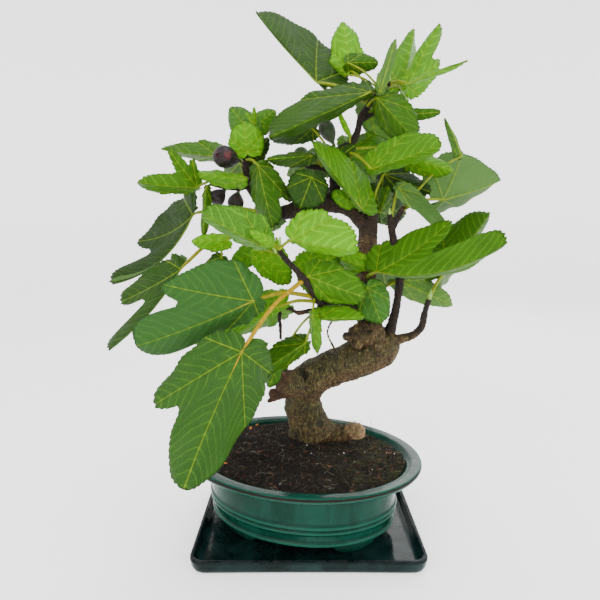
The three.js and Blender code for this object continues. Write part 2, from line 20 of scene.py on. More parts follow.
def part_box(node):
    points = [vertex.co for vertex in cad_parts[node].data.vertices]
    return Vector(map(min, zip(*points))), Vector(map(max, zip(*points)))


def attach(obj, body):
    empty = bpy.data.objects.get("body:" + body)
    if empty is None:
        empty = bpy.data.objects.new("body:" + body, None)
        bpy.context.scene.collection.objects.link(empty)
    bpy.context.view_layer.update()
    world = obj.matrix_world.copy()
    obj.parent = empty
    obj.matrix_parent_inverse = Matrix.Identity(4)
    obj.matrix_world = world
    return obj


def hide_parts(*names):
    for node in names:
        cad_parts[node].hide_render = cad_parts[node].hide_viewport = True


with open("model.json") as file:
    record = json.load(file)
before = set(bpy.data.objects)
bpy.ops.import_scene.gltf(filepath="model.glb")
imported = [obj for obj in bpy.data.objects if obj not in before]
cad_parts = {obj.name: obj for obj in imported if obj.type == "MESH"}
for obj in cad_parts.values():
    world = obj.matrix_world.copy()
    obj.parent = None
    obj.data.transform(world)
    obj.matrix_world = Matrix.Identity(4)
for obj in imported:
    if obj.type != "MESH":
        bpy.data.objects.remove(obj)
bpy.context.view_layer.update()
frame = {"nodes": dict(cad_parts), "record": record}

bl_info = {
    "name": "Bonsai fig tree",
    "version": (1, 0, 0),
    "blender": (4, 5, 0),
    "location": "View3D > Sidebar > Bonsai",
    "description": "Builds a fig bonsai with its leaves, figs, soil, glazed pot and saucer",
    "category": "Add Mesh",
}

MM = 0.001
GAP = 0.35  # clearance between pieces that touch


def node_size(node):
    """The lowest corner and the highest corner of a CAD node, in millimetres."""
    low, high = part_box(node)
    return np.array(low) / MM, np.array(high) / MM


POT_TOP = node_size("pot")[1][2]
SAUCER_LOW, SAUCER_HIGH = node_size("saucer")


# ------------------------------------------------------------------ settings
def colour_setting(name, description, default):
    return FloatVectorProperty(
        name=name, description=description, default=default, subtype="COLOR", size=3, min=0, max=1)


def length_setting(name, description, default, low=0.0):
    return FloatProperty(
        name=name, description=description, default=default, min=low, unit="LENGTH", precision=4)


def density_setting(name, description, default):
    return FloatProperty(
        name=name, description=f"{description} on a square metre", default=default, min=0)


class PotSettings(PropertyGroup):
    rim_height: length_setting("Rim height", "Top of the pot's rim above the floor", POT_TOP * MM)
    turn: FloatProperty(
        name="Turn", description="Long way of the oval, turned from the saucer's long side",
        default=math.radians(-17), subtype="ANGLE")
    segments: IntProperty(
        name="Segments", description="Faces around the oval", default=168, min=24)
    glaze: colour_setting("Glaze", "The glaze where it lies thick", (0.001, 0.020, 0.012))
    thin_glaze: colour_setting("Thin glaze", "The glaze where it runs thin", (0.004, 0.044, 0.028))
    bare_clay: colour_setting("Bare clay", "The clay where an edge shows it", (0.009, 0.005, 0.004))


class SaucerSettings(PropertyGroup):
    height: length_setting("Height", "Top of the saucer's wall", SAUCER_HIGH[2] * MM)
    corner: length_setting("Corner", "Radius of the saucer's outer corners", 0.012)
    glaze: colour_setting("Glaze", "The dark glaze inside", (0.001, 0.006, 0.0048))
    thin_glaze: colour_setting("Thin glaze", "The glaze on the outer wall", (0.007, 0.022, 0.021))
    bare_clay: colour_setting("Bare clay", "The clay where an edge shows it", (0.012, 0.014, 0.017))


class SoilSettings(PropertyGroup):
    roughness: length_setting("Roughness", "Height of the soil's lumps", 0.0024)
    crumbs: density_setting("Crumbs", "Soil crumbs", 190000)
    fibres: density_setting("Fibres", "Root fibres", 30000)
    long_fibres: density_setting("Long fibres", "Long root fibres", 520)
    flakes: density_setting("Orange flakes", "Orange flakes", 260)
    chips: density_setting("Bark chips", "Bark chips", 7000)
    grains: density_setting("Grains", "White grains", 700)
    seed: IntProperty(name="Seed", description="Seed of everything strewn", default=5)
    earth: colour_setting("Earth", "The soil's dark colour", (0.006, 0.0045, 0.0032))


class WoodSettings(PropertyGroup):
    voxel: length_setting("Voxel", "Cell of the mesh that blends the limbs", 0.0012, 0.0005)
    relief: length_setting("Relief", "Height of the bark's ridges", 0.0009)
    bark: colour_setting("Bark", "The trunk's olive bark", (0.066, 0.052, 0.013))
    twig: colour_setting("Twig", "The dark bark of twigs and limbs", (0.017, 0.009, 0.006))


class LeafSettings(PropertyGroup):
    thickness: length_setting("Thickness", "Thickness of a blade", 0.0006)
    tooth: length_setting("Tooth", "Length of a tooth on the margin", 0.0060)
    tooth_depth: length_setting("Tooth depth", "Depth of a tooth on the margin", 0.0019)
    vein_gap: length_setting("Vein gap", "Distance between side veins", 0.0115)
    stalk: colour_setting("Stalk", "The yellow of the leaf stalks", (0.330, 0.225, 0.002))


class FigSettings(PropertyGroup):
    purple: colour_setting("Purple", "The skin of the ripe figs", (0.007, 0.003, 0.005))
    green: colour_setting("Green", "The skin of the unripe figs", (0.045, 0.085, 0.030))


class StageSettings(PropertyGroup):
    floor: colour_setting("Floor", "The pale floor", (0.94, 0.94, 0.94))
    light: FloatProperty(name="Light", description="Strength of the lamps", default=0.80, min=0)


SETTINGS = {
    "bonsai_pot": PotSettings, "bonsai_saucer": SaucerSettings, "bonsai_soil": SoilSettings,
    "bonsai_wood": WoodSettings, "bonsai_leaves": LeafSettings, "bonsai_figs": FigSettings,
    "bonsai_stage": StageSettings,
}


# ------------------------------------------------------------------ materials
class Finish:
    """A node material being built. Values are numbers, colours or sockets of earlier nodes."""

    def __init__(self, name, roughness=0.5, **shader):
        self.material = bpy.data.materials.new(name)
        self.material.use_nodes = True
        self.nodes = self.material.node_tree.nodes
        self.links = self.material.node_tree.links
        self.shader = self.nodes["Principled BSDF"]
        self.place = self.nodes.new("ShaderNodeTexCoord").outputs["Object"]
        self.feed(self.shader.inputs["Roughness"], roughness)
        for socket, value in shader.items():
            self.shader.inputs[socket.replace("_", " ")].default_value = value

    def feed(self, socket, value):
        if isinstance(value, bpy.types.NodeSocket):
            self.links.new(value, socket)
        elif isinstance(value, (tuple, list)) and len(value) == 3 and socket.type == "RGBA":
            socket.default_value = (*value, 1)
        else:
            socket.default_value = value

    def calculate(self, operation, first, second=0.0):
        node = self.nodes.new("ShaderNodeMath")
        node.operation = operation
        self.feed(node.inputs[0], first)
        self.feed(node.inputs[1], second)
        return node.outputs[0]

    def times(self, first, second):
        return self.calculate("MULTIPLY", first, second)

    def plus(self, first, second):
        return self.calculate("ADD", first, second)

    def minus(self, first, second):
        return self.calculate("SUBTRACT", first, second)

    def fade(self, value, start, end, low=0.0, high=1.0):
        """Turns a value's range from start to end into one from low to high, eased at both ends."""
        node = self.nodes.new("ShaderNodeMapRange")
        node.interpolation_type = "SMOOTHSTEP"
        for socket, number in zip(node.inputs, (value, start, end, low, high)):
            self.feed(socket, number)
        return node.outputs[0]

    def attribute(self, name, output="Fac"):
        """A mark that the mesh carries at each point."""
        node = self.nodes.new("ShaderNodeAttribute")
        node.attribute_name = name
        return node.outputs[output]

    def split(self, vector):
        node = self.nodes.new("ShaderNodeSeparateXYZ")
        self.feed(node.inputs[0], vector)
        return node.outputs

    def stretched(self, vector, scale, turn=(0, 0, 0)):
        node = self.nodes.new("ShaderNodeMapping")
        self.feed(node.inputs["Vector"], vector)
        node.inputs["Scale"].default_value = scale
        node.inputs["Rotation"].default_value = turn
        return node.outputs[0]

    def noise(self, size, detail=3.0, rough=0.55, vector=None, distortion=0.0):
        """Noise whose blotches are about size metres across."""
        node = self.nodes.new("ShaderNodeTexNoise")
        self.feed(node.inputs["Vector"], vector or self.place)
        node.inputs["Scale"].default_value = 1 / size
        node.inputs["Detail"].default_value = detail
        node.inputs["Roughness"].default_value = rough
        node.inputs["Distortion"].default_value = distortion
        return node.outputs[0]

    def cells(self, size, vector=None, feature="F1", flat=False):
        node = self.nodes.new("ShaderNodeTexVoronoi")
        node.voronoi_dimensions = "2D" if flat else "3D"
        node.feature = feature
        self.feed(node.inputs["Vector"], vector or self.place)
        node.inputs["Scale"].default_value = 1 / size
        return node.outputs["Distance"]

    def mix(self, share, first, second):
        """Goes from the first colour to the second as the share rises from 0 to 1."""
        node = self.nodes.new("ShaderNodeMix")
        node.data_type = "RGBA"
        self.feed(node.inputs["Factor"], share)
        self.feed(node.inputs[6], first)
        self.feed(node.inputs[7], second)
        return node.outputs[2]

    def ramp(self, share, stops):
        """A colour read off the stops, each a place from 0 to 1 and a colour."""
        node = self.nodes.new("ShaderNodeValToRGB")
        self.feed(node.inputs[0], share)
        elements = node.color_ramp.elements
        while len(elements) < len(stops):
            elements.new(0.5)
        for element, (at, colour) in zip(elements, stops):
            element.position = at
            element.color = (*colour, 1)
        return node.outputs[0]

    def bump(self, height, depth, strength=1.0):
        """Raises the surface by height times depth metres. Calls add up."""
        node = self.nodes.new("ShaderNodeBump")
        node.inputs["Distance"].default_value = depth
        node.inputs["Strength"].default_value = strength
        self.feed(node.inputs["Height"], height)
        normal = self.shader.inputs["Normal"]
        if normal.is_linked:
            self.links.new(normal.links[0].from_socket, node.inputs["Normal"])
        self.links.new(node.outputs[0], normal)

    def colour(self, value):
        self.feed(self.shader.inputs["Base Color"], value)
        return self.material


def tinted(colour, factor):
    return tuple(min(1.0, channel * factor) for channel in colour)


def glaze_finish(name, settings, speckle):
    """Poured glaze: thick and dark in hollows, thin and pale on edges, worn to clay on the sharpest."""
    thick, thin, clay = (tuple(c) for c in (settings.glaze, settings.thin_glaze, settings.bare_clay))
    finish = Finish(name, IOR=1.30, Specular_IOR_Level=0.20, Coat_Weight=0.03, Coat_Roughness=0.04)
    edge = finish.attribute("edge")
    runs = finish.noise(0.022, 4, 0.6, finish.stretched(finish.place, (1, 1, 0.25)), 0.4)
    cloud = finish.noise(0.055, 2, 0.5)
    pooled = finish.times(finish.plus(runs, cloud), 0.55)
    body = finish.mix(finish.fade(pooled, 0.40, 0.74), thick, thin)
    body = finish.mix(finish.fade(edge, 0.25, 1.0, 0, 0.60), body, tinted(thin, 1.6))
    body = finish.mix(finish.fade(edge, -0.30, -1.0, 0, 0.55), body, tinted(thick, 0.30))
    spots = finish.noise(0.0016, 2, 0.7)
    body = finish.mix(finish.fade(spots, 0.62, 0.72, 0, speckle), body, tinted(thin, 1.9))
    body = finish.mix(finish.fade(spots, 0.38, 0.30, 0, 0.6), body, tinted(thick, 0.25))
    ragged = finish.plus(finish.attribute("worn"), finish.times(finish.noise(0.009, 5, 0.7), 0.9))
    worn = finish.fade(ragged, 0.98, 1.12)
    body = finish.mix(worn, body, clay)
    pits = finish.fade(finish.cells(0.021), 0.050, 0.025)
    body = finish.mix(finish.times(pits, 0.8), body, tinted(clay, 0.6))
    smears = finish.fade(finish.noise(0.012, 3), 0.35, 0.8, 0.09, 0.20)
    finish.feed(finish.shader.inputs["Roughness"], finish.plus(smears, finish.times(worn, 0.45)))
    finish.bump(finish.noise(0.018, 2), 0.0012, 0.35)
    finish.bump(finish.noise(0.0022, 2), 0.00012, 0.5)
    finish.bump(finish.times(pits, -1), 0.0004, 0.6)
    return finish.colour(body)


def earth_finish(settings):
    """Damp earth in clods, with a green film of moss towards the right."""
    earth = tuple(settings.earth)
    finish = Finish("potting_earth", 0.95, Specular_IOR_Level=0.25)
    clods = finish.noise(0.006, 6, 0.7)
    body = finish.ramp(clods, [
        (0.30, tinted(earth, 0.35)), (0.48, earth), (0.60, (0.011, 0.007, 0.0045)),
        (0.78, (0.028, 0.017, 0.010))])
    moss = finish.times(finish.fade(finish.split(finish.place)[0], 0.02, 0.10),
                        finish.fade(finish.noise(0.02, 4), 0.45, 0.68))
    body = finish.mix(finish.times(moss, 0.55), body, (0.030, 0.038, 0.010))
    finish.bump(finish.noise(0.0028, 5, 0.7), 0.0014)
    return finish.colour(body)


def crumb_finish(name, stops, rough=0.95, side_moss=0.0):
    """Strewn bits, each with its own tone along the stops."""
    finish = Finish(name, rough, Specular_IOR_Level=0.25)
    tone = finish.plus(finish.attribute("tone"), finish.times(finish.noise(0.0015, 3), 0.30))
    body = finish.ramp(finish.minus(tone, 0.15), stops)
    if side_moss:
        moss = finish.times(finish.fade(finish.split(finish.place)[0], 0.0, 0.09),
                            finish.fade(finish.noise(0.016, 4), 0.42, 0.60, 0, side_moss))
        body = finish.mix(moss, body, (0.050, 0.060, 0.014))
    finish.bump(finish.noise(0.0011, 3), 0.0004)
    return finish.colour(body)


def bark_finish(settings):
    """Olive bark with moss and growth rings on the trunk, near black on the twigs."""
    bark, twig = tuple(settings.bark), tuple(settings.twig)
    finish = Finish("fig_bark", 0.8, Specular_IOR_Level=0.3)
    along, girth = finish.attribute("along"), finish.attribute("girth")
    z = finish.split(finish.place)[2]
    patches = finish.noise(0.022, 5, 0.65)
    fine = finish.noise(0.0035, 5, 0.7)
    body = finish.ramp(patches, [
        (0.30, tinted(bark, 0.42)), (0.46, tinted(bark, 0.85)), (0.58, bark),
        (0.72, (0.105, 0.085, 0.032)), (0.85, (0.165, 0.130, 0.062))])
    green = finish.times(finish.fade(finish.noise(0.016, 4, 0.6), 0.44, 0.62),
                         finish.fade(z, 0.225, 0.17))
    body = finish.mix(finish.times(green, 0.65), body, (0.026, 0.034, 0.006))
    lichen = finish.fade(finish.noise(0.005, 4, 0.6), 0.60, 0.68, 0, 0.35)
    body = finish.mix(lichen, body, (0.15, 0.14, 0.055))
    brown = finish.ramp(fine, [(0.30, (0.026, 0.011, 0.005)), (0.50, (0.115, 0.056, 0.022)),
                               (0.72, (0.240, 0.145, 0.065))])
    foot_and_bend = finish.plus(finish.fade(z, 0.158, 0.125), finish.fade(z, 0.216, 0.232))
    shift = finish.times(finish.fade(patches, 0.38, 0.66), foot_and_bend)
    body = finish.mix(finish.plus(finish.times(shift, 0.5), finish.fade(z, 0.23, 0.26, 0, 0.5)),
                      body, brown)
    cork = finish.noise(0.0034, 4, 0.8, finish.stretched(finish.place, (1, 1, 0.45), (0, 0.7, 0)), 1.5)
    below = finish.fade(finish.attribute("sky"), 0.15, -0.55, 0, 0.75)
    body = finish.mix(below, body, brown)
    body = finish.mix(finish.fade(cork, 0.49, 0.56, 0, 0.88), body, (0.010, 0.007, 0.003))
    body = finish.mix(finish.fade(cork, 0.45, 0.38, 0, 0.75), body, (0.190, 0.165, 0.055))
    dark = finish.ramp(fine, [(0.30, tinted(twig, 0.35)), (0.55, twig), (0.74, tinted(twig, 2.6))])
    thin = finish.times(finish.fade(girth, 0.0100, 0.0075), finish.fade(z, 0.230, 0.240))
    body = finish.mix(thin, body, dark)
    body = finish.mix(finish.fade(z, 0.335, 0.355, 0, 0.85), body, dark)
    body = finish.mix(finish.attribute("cut"), body, finish.ramp(
        fine, [(0.3, (0.012, 0.005, 0.003)), (0.55, (0.055, 0.023, 0.012)), (0.75, (0.135, 0.070, 0.038))]))
    body = finish.mix(finish.attribute("scar"), body, (0.020, 0.017, 0.010))
    body = finish.mix(finish.attribute("pale"), body, finish.ramp(
        fine, [(0.3, (0.130, 0.068, 0.030)), (0.6, (0.520, 0.330, 0.165))]))
    rings = finish.calculate("SINE", finish.plus(finish.times(along, 2600.0), finish.times(patches, 22.0)))
    body = finish.mix(finish.fade(rings, 0.35, 1.0, 0, 0.38), body, tinted(bark, 0.25))
    finish.bump(rings, 0.0005, 0.7)
    finish.bump(fine, 0.0014, 0.9)
    finish.bump(finish.times(cork, -1), 0.0016, 0.9)
    finish.bump(finish.cells(0.004), 0.0008, 0.5)
    return finish.colour(body)


UPPER_TONES = [  # from the deep green of an old leaf to the lime of a new one
    (0.0, (0.007, 0.022, 0.002)), (0.25, (0.016, 0.050, 0.002)), (0.5, (0.034, 0.108, 0.002)),
    (0.75, (0.062, 0.205, 0.001)), (1.0, (0.100, 0.330, 0.000)),
]
FROSTED = (0.026, 0.098, 0.020)  # the bluish bloom of the front leaves
VEIN_LEAN = 0.70  # how far a side vein runs forwards for each step away from its midrib


def leaf_finish(name, settings, upper):
    """A blade's skin: pale veins along the midribs and side veins, with a fine net between them."""
    finish = Finish(name, 0.5, IOR=1.25, Specular_IOR_Level=0.30)
    tone, frost = finish.attribute("tone"), finish.attribute("frost")
    veins = finish.nodes.new("ShaderNodeUVMap")
    veins.uv_map = "veins"
    along, across, _ = finish.split(veins.outputs[0])  # in tenths of a metre
    patches = finish.noise(0.030, 3, 0.55)
    tone = finish.plus(tone, finish.times(finish.minus(patches, 0.5), 0.30))
    body = finish.ramp(tone, UPPER_TONES)
    body = finish.mix(finish.times(frost, 0.85), body, FROSTED)
    if not upper:
        body = finish.mix(0.62, body, (0.085, 0.170, 0.042))
    gap = settings.vein_gap * 10
    wander = finish.times(finish.minus(finish.noise(0.018, 2, 0.5), 0.5), gap * 0.9)
    bend = finish.times(finish.calculate("POWER", across, 1.8), 1.7)
    start = finish.minus(finish.plus(along, wander), finish.plus(finish.times(across, VEIN_LEAN), bend))
    rung = finish.calculate("PINGPONG", finish.calculate("DIVIDE", start, gap), 0.5)
    side_vein = finish.times(finish.fade(rung, 0.055, 0.015),
                             finish.fade(finish.attribute("between"), 1.0, 0.72))
    width = finish.fade(along, 0.0, 1.3, 0.0090, 0.0057)
    main_vein = finish.fade(finish.calculate("DIVIDE", across, width), 1.0, 0.45)
    net = finish.cells(0.045, veins.outputs[0], "DISTANCE_TO_EDGE", True)
    small_vein = finish.fade(net, 0.10, 0.02)
    pale = finish.ramp(tone, [(0.0, (0.055, 0.125, 0.010)), (0.5, (0.130, 0.270, 0.010)),
                              (1.0, (0.260, 0.520, 0.006))])
    body = finish.mix(finish.times(small_vein, finish.fade(tone, 0.5, 1.0, 0.15, 0.32)), body, pale)
    clear = finish.fade(frost, 0.3, 1.0, 0.60 if upper else 0.45, 0.36)
    body = finish.mix(finish.times(side_vein, clear), body, pale)
    body = finish.mix(finish.times(main_vein, 0.62), body, finish.mix(
        finish.fade(along, 1.4, 0.0, 0.55, 0.9), pale, (0.240, 0.350, 0.006)))
    # Painted shade: the blade darkens towards the middle between the side veins, standing in for the
    # shading of its quilted relief.
    painted_shade_between_veins = finish.fade(rung, 0.05, 0.28, 0.0, 0.28)
    body = finish.mix(painted_shade_between_veins, body, tinted(UPPER_TONES[1][1], 0.8) if upper else (0.06, 0.12, 0.03))
    grain = finish.noise(0.0013, 3, 0.6)
    body = finish.mix(finish.fade(grain, 0.45, 0.70, 0, 0.16), body, tinted(UPPER_TONES[0][1], 1.0))
    rise = -1.0 if upper else 1.0
    relief = finish.plus(finish.times(main_vein, rise), finish.times(side_vein, 0.6 * rise))
    relief = finish.plus(relief, finish.times(small_vein, 0.30 * rise))
    finish.bump(relief, 0.0007, 0.8)
    finish.bump(grain, 0.00025, 0.6)
    finish.feed(finish.shader.inputs["Roughness"], finish.fade(
        finish.noise(0.02, 2), 0.3, 0.7, 0.42 if upper else 0.62, 0.58 if upper else 0.75))
    return finish.colour(body)


def stalk_finish(settings):
    """Leaf stalks: yellow-green, deeper gold on the old front leaves, browner at the twig."""
    finish = Finish("leaf_stalk", 0.5, IOR=1.42, Specular_IOR_Level=0.2)
    streak = finish.noise(0.004, 3, 0.5, finish.stretched(finish.place, (1, 1, 0.3)))
    young = finish.ramp(streak, [(0.3, (0.085, 0.150, 0.004)), (0.7, (0.190, 0.260, 0.005))])
    old = finish.ramp(streak, [(0.3, (0.210, 0.120, 0.002)), (0.7, tuple(settings.stalk))])
    body = finish.mix(finish.attribute("gold"), young, old)
    finish.bump(streak, 0.0004, 0.5)
    return finish.colour(body)


FIG_RIBS = 15


def fig_finish(settings):
    """Fig skin: green or purple with a dusty bloom, ribs from neck to eye, and pale specks."""
    finish = Finish("fig_skin", 0.42, IOR=1.45, Specular_IOR_Level=0.3)
    ripe = finish.attribute("ripe")
    around, down, _ = finish.split(finish.attribute("ribs", "Vector"))
    ribs = finish.calculate("SINE", finish.times(around, 2 * math.pi * FIG_RIBS))
    mottle = finish.noise(0.006, 4, 0.6)
    purple, green = tuple(settings.purple), tuple(settings.green)
    dark = finish.ramp(mottle, [(0.35, tinted(purple, 0.6)), (0.60, purple), (0.80, (0.040, 0.017, 0.020))])
    flush = finish.fade(finish.noise(0.011, 3, 0.6), 0.56, 0.70, 0, 0.8)
    dark = finish.mix(flush, dark, (0.090, 0.010, 0.014))
    raw = finish.ramp(mottle, [(0.35, tinted(green, 0.6)), (0.65, green), (0.85, (0.13, 0.17, 0.075))])
    body = finish.mix(ripe, raw, dark)
    body = finish.mix(finish.fade(ribs, 0.1, 1.0, 0, 0.22), body, (0.060, 0.050, 0.032))
    body = finish.mix(finish.fade(down, 0.30, 0.0, 0, 0.7), body, (0.09, 0.13, 0.03))
    specks = finish.fade(finish.cells(0.0022), 0.24, 0.14, 0, 0.4)
    body = finish.mix(specks, body, (0.110, 0.090, 0.060))
    finish.bump(ribs, 0.0004, 0.6)
    finish.bump(mottle, 0.0005, 0.5)
    return finish.colour(body)


def plastic_finish():
    """The drain screens' black plastic, with a moulded texture and dust."""
    finish = Finish("screen_plastic", 0.6)
    dust = finish.noise(0.004, 4, 0.6)
    finish.bump(finish.noise(0.0008, 2), 0.0001, 0.6)
    return finish.colour(finish.ramp(dust, [(0.4, (0.012, 0.012, 0.012)), (0.75, (0.06, 0.05, 0.04))]))


def floor_finish(settings):
    """The pale floor, which glows a little so that it stays even."""
    finish = Finish("studio_floor", 0.9, Specular_IOR_Level=0.1, Emission_Strength=0.80,
                    Emission_Color=(1, 1, 1, 1))
    pale = tuple(settings.floor)
    cloud = finish.noise(0.8, 2)
    return finish.colour(finish.ramp(cloud, [(0.3, tinted(pale, 0.985)), (0.7, pale)]))


# ------------------------------------------------------------------ meshes
def new_mesh(name, points, faces):
    """A smooth mesh from points in millimetres and faces."""
    mesh = bpy.data.meshes.new(name)
    mesh.from_pydata((np.asarray(points, float) * MM).tolist(), [], [tuple(f) for f in faces])
    mesh.shade_smooth()
    return mesh


def mark(mesh, name, values):
    """Stores one number for each point, for the materials to read."""
    layer = mesh.attributes.new(name, "FLOAT", "POINT")
    layer.data.foreach_set("value", np.ascontiguousarray(
        np.broadcast_to(np.asarray(values, np.float32), len(mesh.vertices))))


def outward(mesh):
    """Turns every face of a closed mesh outwards."""
    work = bmesh.new()
    work.from_mesh(mesh)
    bmesh.ops.recalc_face_normals(work, faces=work.faces)
    work.to_mesh(mesh)
    work.free()


class Joined:
    """Closed bodies gathered for one mesh."""

    def __init__(self):
        self.points, self.faces, self.count = [], [], 0

    def add(self, points, faces):
        self.points.append(points)
        self.faces += [tuple(index + self.count for index in face) for face in faces]
        self.count += len(points)

    def mesh(self, name):
        mesh = new_mesh(name, np.vstack(self.points), self.faces)
        outward(mesh)
        return mesh


def placed(name, mesh):
    """A helper object in the scene, which is taken away again once its modifiers have run."""
    helper = bpy.data.objects.new(name, mesh)
    bpy.context.scene.collection.objects.link(helper)
    return helper


def modified(helper):
    """The mesh that a helper object's modifiers give."""
    depsgraph = bpy.context.evaluated_depsgraph_get()
    mesh = bpy.data.meshes.new_from_object(helper.evaluated_get(depsgraph))
    helper.modifiers.clear()
    bpy.data.objects.remove(helper)
    return mesh


def add_piece(name, mesh, materials, nodes=()):
    """Shows a finished mesh as a piece of the tree that stands for the given CAD nodes."""
    for material in materials:
        mesh.materials.append(material)
    piece = bpy.data.objects.new(name, mesh)
    bpy.context.scene.collection.objects.link(piece)
    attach(piece, "root")
    if nodes:
        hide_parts(*nodes)
    return piece


def rounded(profile, passes):
    """Cuts the corners of an open outline, keeping its two ends."""
    points = np.array(profile, float)
    for _ in range(passes):
        first, second = points[:-1], points[1:]
        cut = np.stack([first * 0.75 + second * 0.25, first * 0.25 + second * 0.75], 1)
        points = np.vstack([points[:1], cut.reshape(-1, points.shape[1]), points[-1:]])
    return points


def skin(rings, poles=True):
    """Faces over rings of equally many points, and over the two poles that follow them."""
    count, sides = rings
    faces = []
    for ring in range(count - 1):
        for side in range(sides):
            a, b = ring * sides + side, ring * sides + (side + 1) % sides
            faces.append((a, b, b + sides, a + sides))
    if poles:
        first, last, top = count * sides, count * sides + 1, (count - 1) * sides
        for side in range(sides):
            after = (side + 1) % sides
            faces.append((first, after, side))
            faces.append((last, top + side, top + after))
    return faces


def sharpness(profile, reach):
    """How far each point of an outline stands out from its neighbours within reach, from -1 to 1."""
    points = np.array(profile, float)
    step = np.gradient(points, axis=0)
    outward = np.stack([step[:, 1], -step[:, 0]], 1)
    outward /= np.linalg.norm(outward, axis=1, keepdims=True) + 1e-9
    apart = np.linalg.norm(points[:, None] - points[None], axis=2)
    near = (apart < reach).astype(float)
    middle = near @ points / near.sum(1, keepdims=True)
    return np.clip(((points - middle) * outward).sum(1) / (0.18 * reach), -1, 1)


# ------------------------------------------------------------------ pot and saucer
WIDE = 29.0  # how much longer the pot's long half is than its short half
FOOT_Z, POT_BASE_Z, POT_FLOOR_Z = 6.35, 14.35, 20.85
FEET = (0.62, math.pi - 0.86, math.pi + 0.86, -0.62)  # where on the oval, from its right end
RIM_EDGE = (110.9, 93.2)  # radius and height of the rim's outer edge, which is worn to the clay
WALL_Z = 60  # the ribs are below this height, the wall and rim above it
DRAIN_OUT, DRAIN_RADIUS = 44, 8
SAUCER_HOLLOW_Z, SAUCER_FLOOR_Z = 0.9, 6.0  # undersides of the saucer's middle and of its inside
POT_OUTSIDE = [  # radius on the short way, height
    (0, POT_BASE_Z), (60, POT_BASE_Z), (68, POT_BASE_Z), (71, 17), (74, 19.5), (77.5, 22.6), (80.4, 24),
    (81.6, 25), (81.9, 26.4), (81.3, 27.8), (80.2, 28.6), (79.9, 30), (80.5, 34), (81.2, 37.4),
    (82.2, 38.4), (83.3, 39.4), (83.5, 40.6), (83.2, 41.8), (82.2, 42.6), (82.1, 43.2), (83.0, 44.2),
    (84.0, 45.2), (84.2, 46.6), (83.6, 48), (82.5, 48.8), (82.1, 50), (82.0, 56), (82.1, 66), (82.3, 74),
    (82.8, 78), (84.4, 81), (88, 82.9), (94, 84), (101, 85),
    (106, 86.6), (109.6, 88.8), (110.9, 91.4), (110.9, 93.4), (109.8, 94.8), (107.5, 95),
]
POT_INSIDE = [
    (101, 94.6), (98, 94.2), (95, 92.8), (93, 90.4), (88, 86), (80, 82), (76.5, 77), (75.5, 72),
    (75.5, 50), (72, 38), (66, 26), (62, POT_FLOOR_Z), (40, POT_FLOOR_Z), (0, POT_FLOOR_Z),
]


def oval(radius, angle, turn):
    """Points of an oval whose half width is radius, turned about the upright axis."""
    x = radius * (1 + WIDE / np.maximum(radius, 55.0)) * np.cos(angle)
    y = radius * np.sin(angle)
    return x * math.cos(turn) - y * math.sin(turn), x * math.sin(turn) + y * math.cos(turn)


def oval_body(profile, sides, turn):
    """Rings and poles of an oval body: the first and last points of the profile are on the axis."""
    angle = np.arange(sides) / sides * 2 * math.pi
    rings = []
    for radius, height in profile[1:-1]:
        x, y = oval(np.full(sides, radius), angle, turn)
        rings.append(np.stack([x, y, np.full(sides, height)], 1))
    poles = np.array([(0, 0, profile[0][1]), (0, 0, profile[-1][1])])
    return np.vstack(rings + [poles]), skin((len(rings), sides))


def cloud_foot(middle, turn):
    """A foot that follows the oval, its lower edge cut in scrolls that rise to both ends."""
    spread, along, sides = 0.36, 40, 14
    top = POT_BASE_Z + 1.6
    rings = []
    for step in np.linspace(-1, 1, along + 1):
        away = abs(step)
        scroll = 5.4 * np.clip((away - 0.55) / 0.45, 0, 1) ** 1.5
        scroll += 0.9 * abs(math.sin(away * 9.0)) * (away > 0.35)
        end = 1 - 0.55 * np.clip((away - 0.9) / 0.1, 0, 1) ** 2
        ring = []
        for turned in np.arange(sides) / sides * 2 * math.pi:
            across, up = math.cos(turned), math.sin(turned)
            out = 62.5 + 6.6 * end * np.sign(across) * abs(across) ** 0.45
            low = FOOT_Z + min(scroll, 7.0)
            height = (low + top) / 2 + (top - low) / 2 * np.sign(up) * abs(up) ** 0.45
            x, y = oval(np.array([out]), np.array([middle + spread * step]), turn)
            ring.append((x[0], y[0], height))
        rings.append(ring)
    rings = np.array(rings)
    points = np.vstack([rings.reshape(-1, 3), rings[0].mean(0)[None], rings[-1].mean(0)[None]])
    return points, skin((along + 1, sides))


def glazed_mesh(name, bodies, edge, worn):
    """Joins closed bodies into one mesh with the marks that the glaze reads."""
    whole = Joined()
    for points, faces in bodies:
        whole.add(points, faces)
    mesh = whole.mesh(name)
    mark(mesh, "edge", np.concatenate(edge))
    mark(mesh, "worn", np.concatenate(worn))
    return mesh


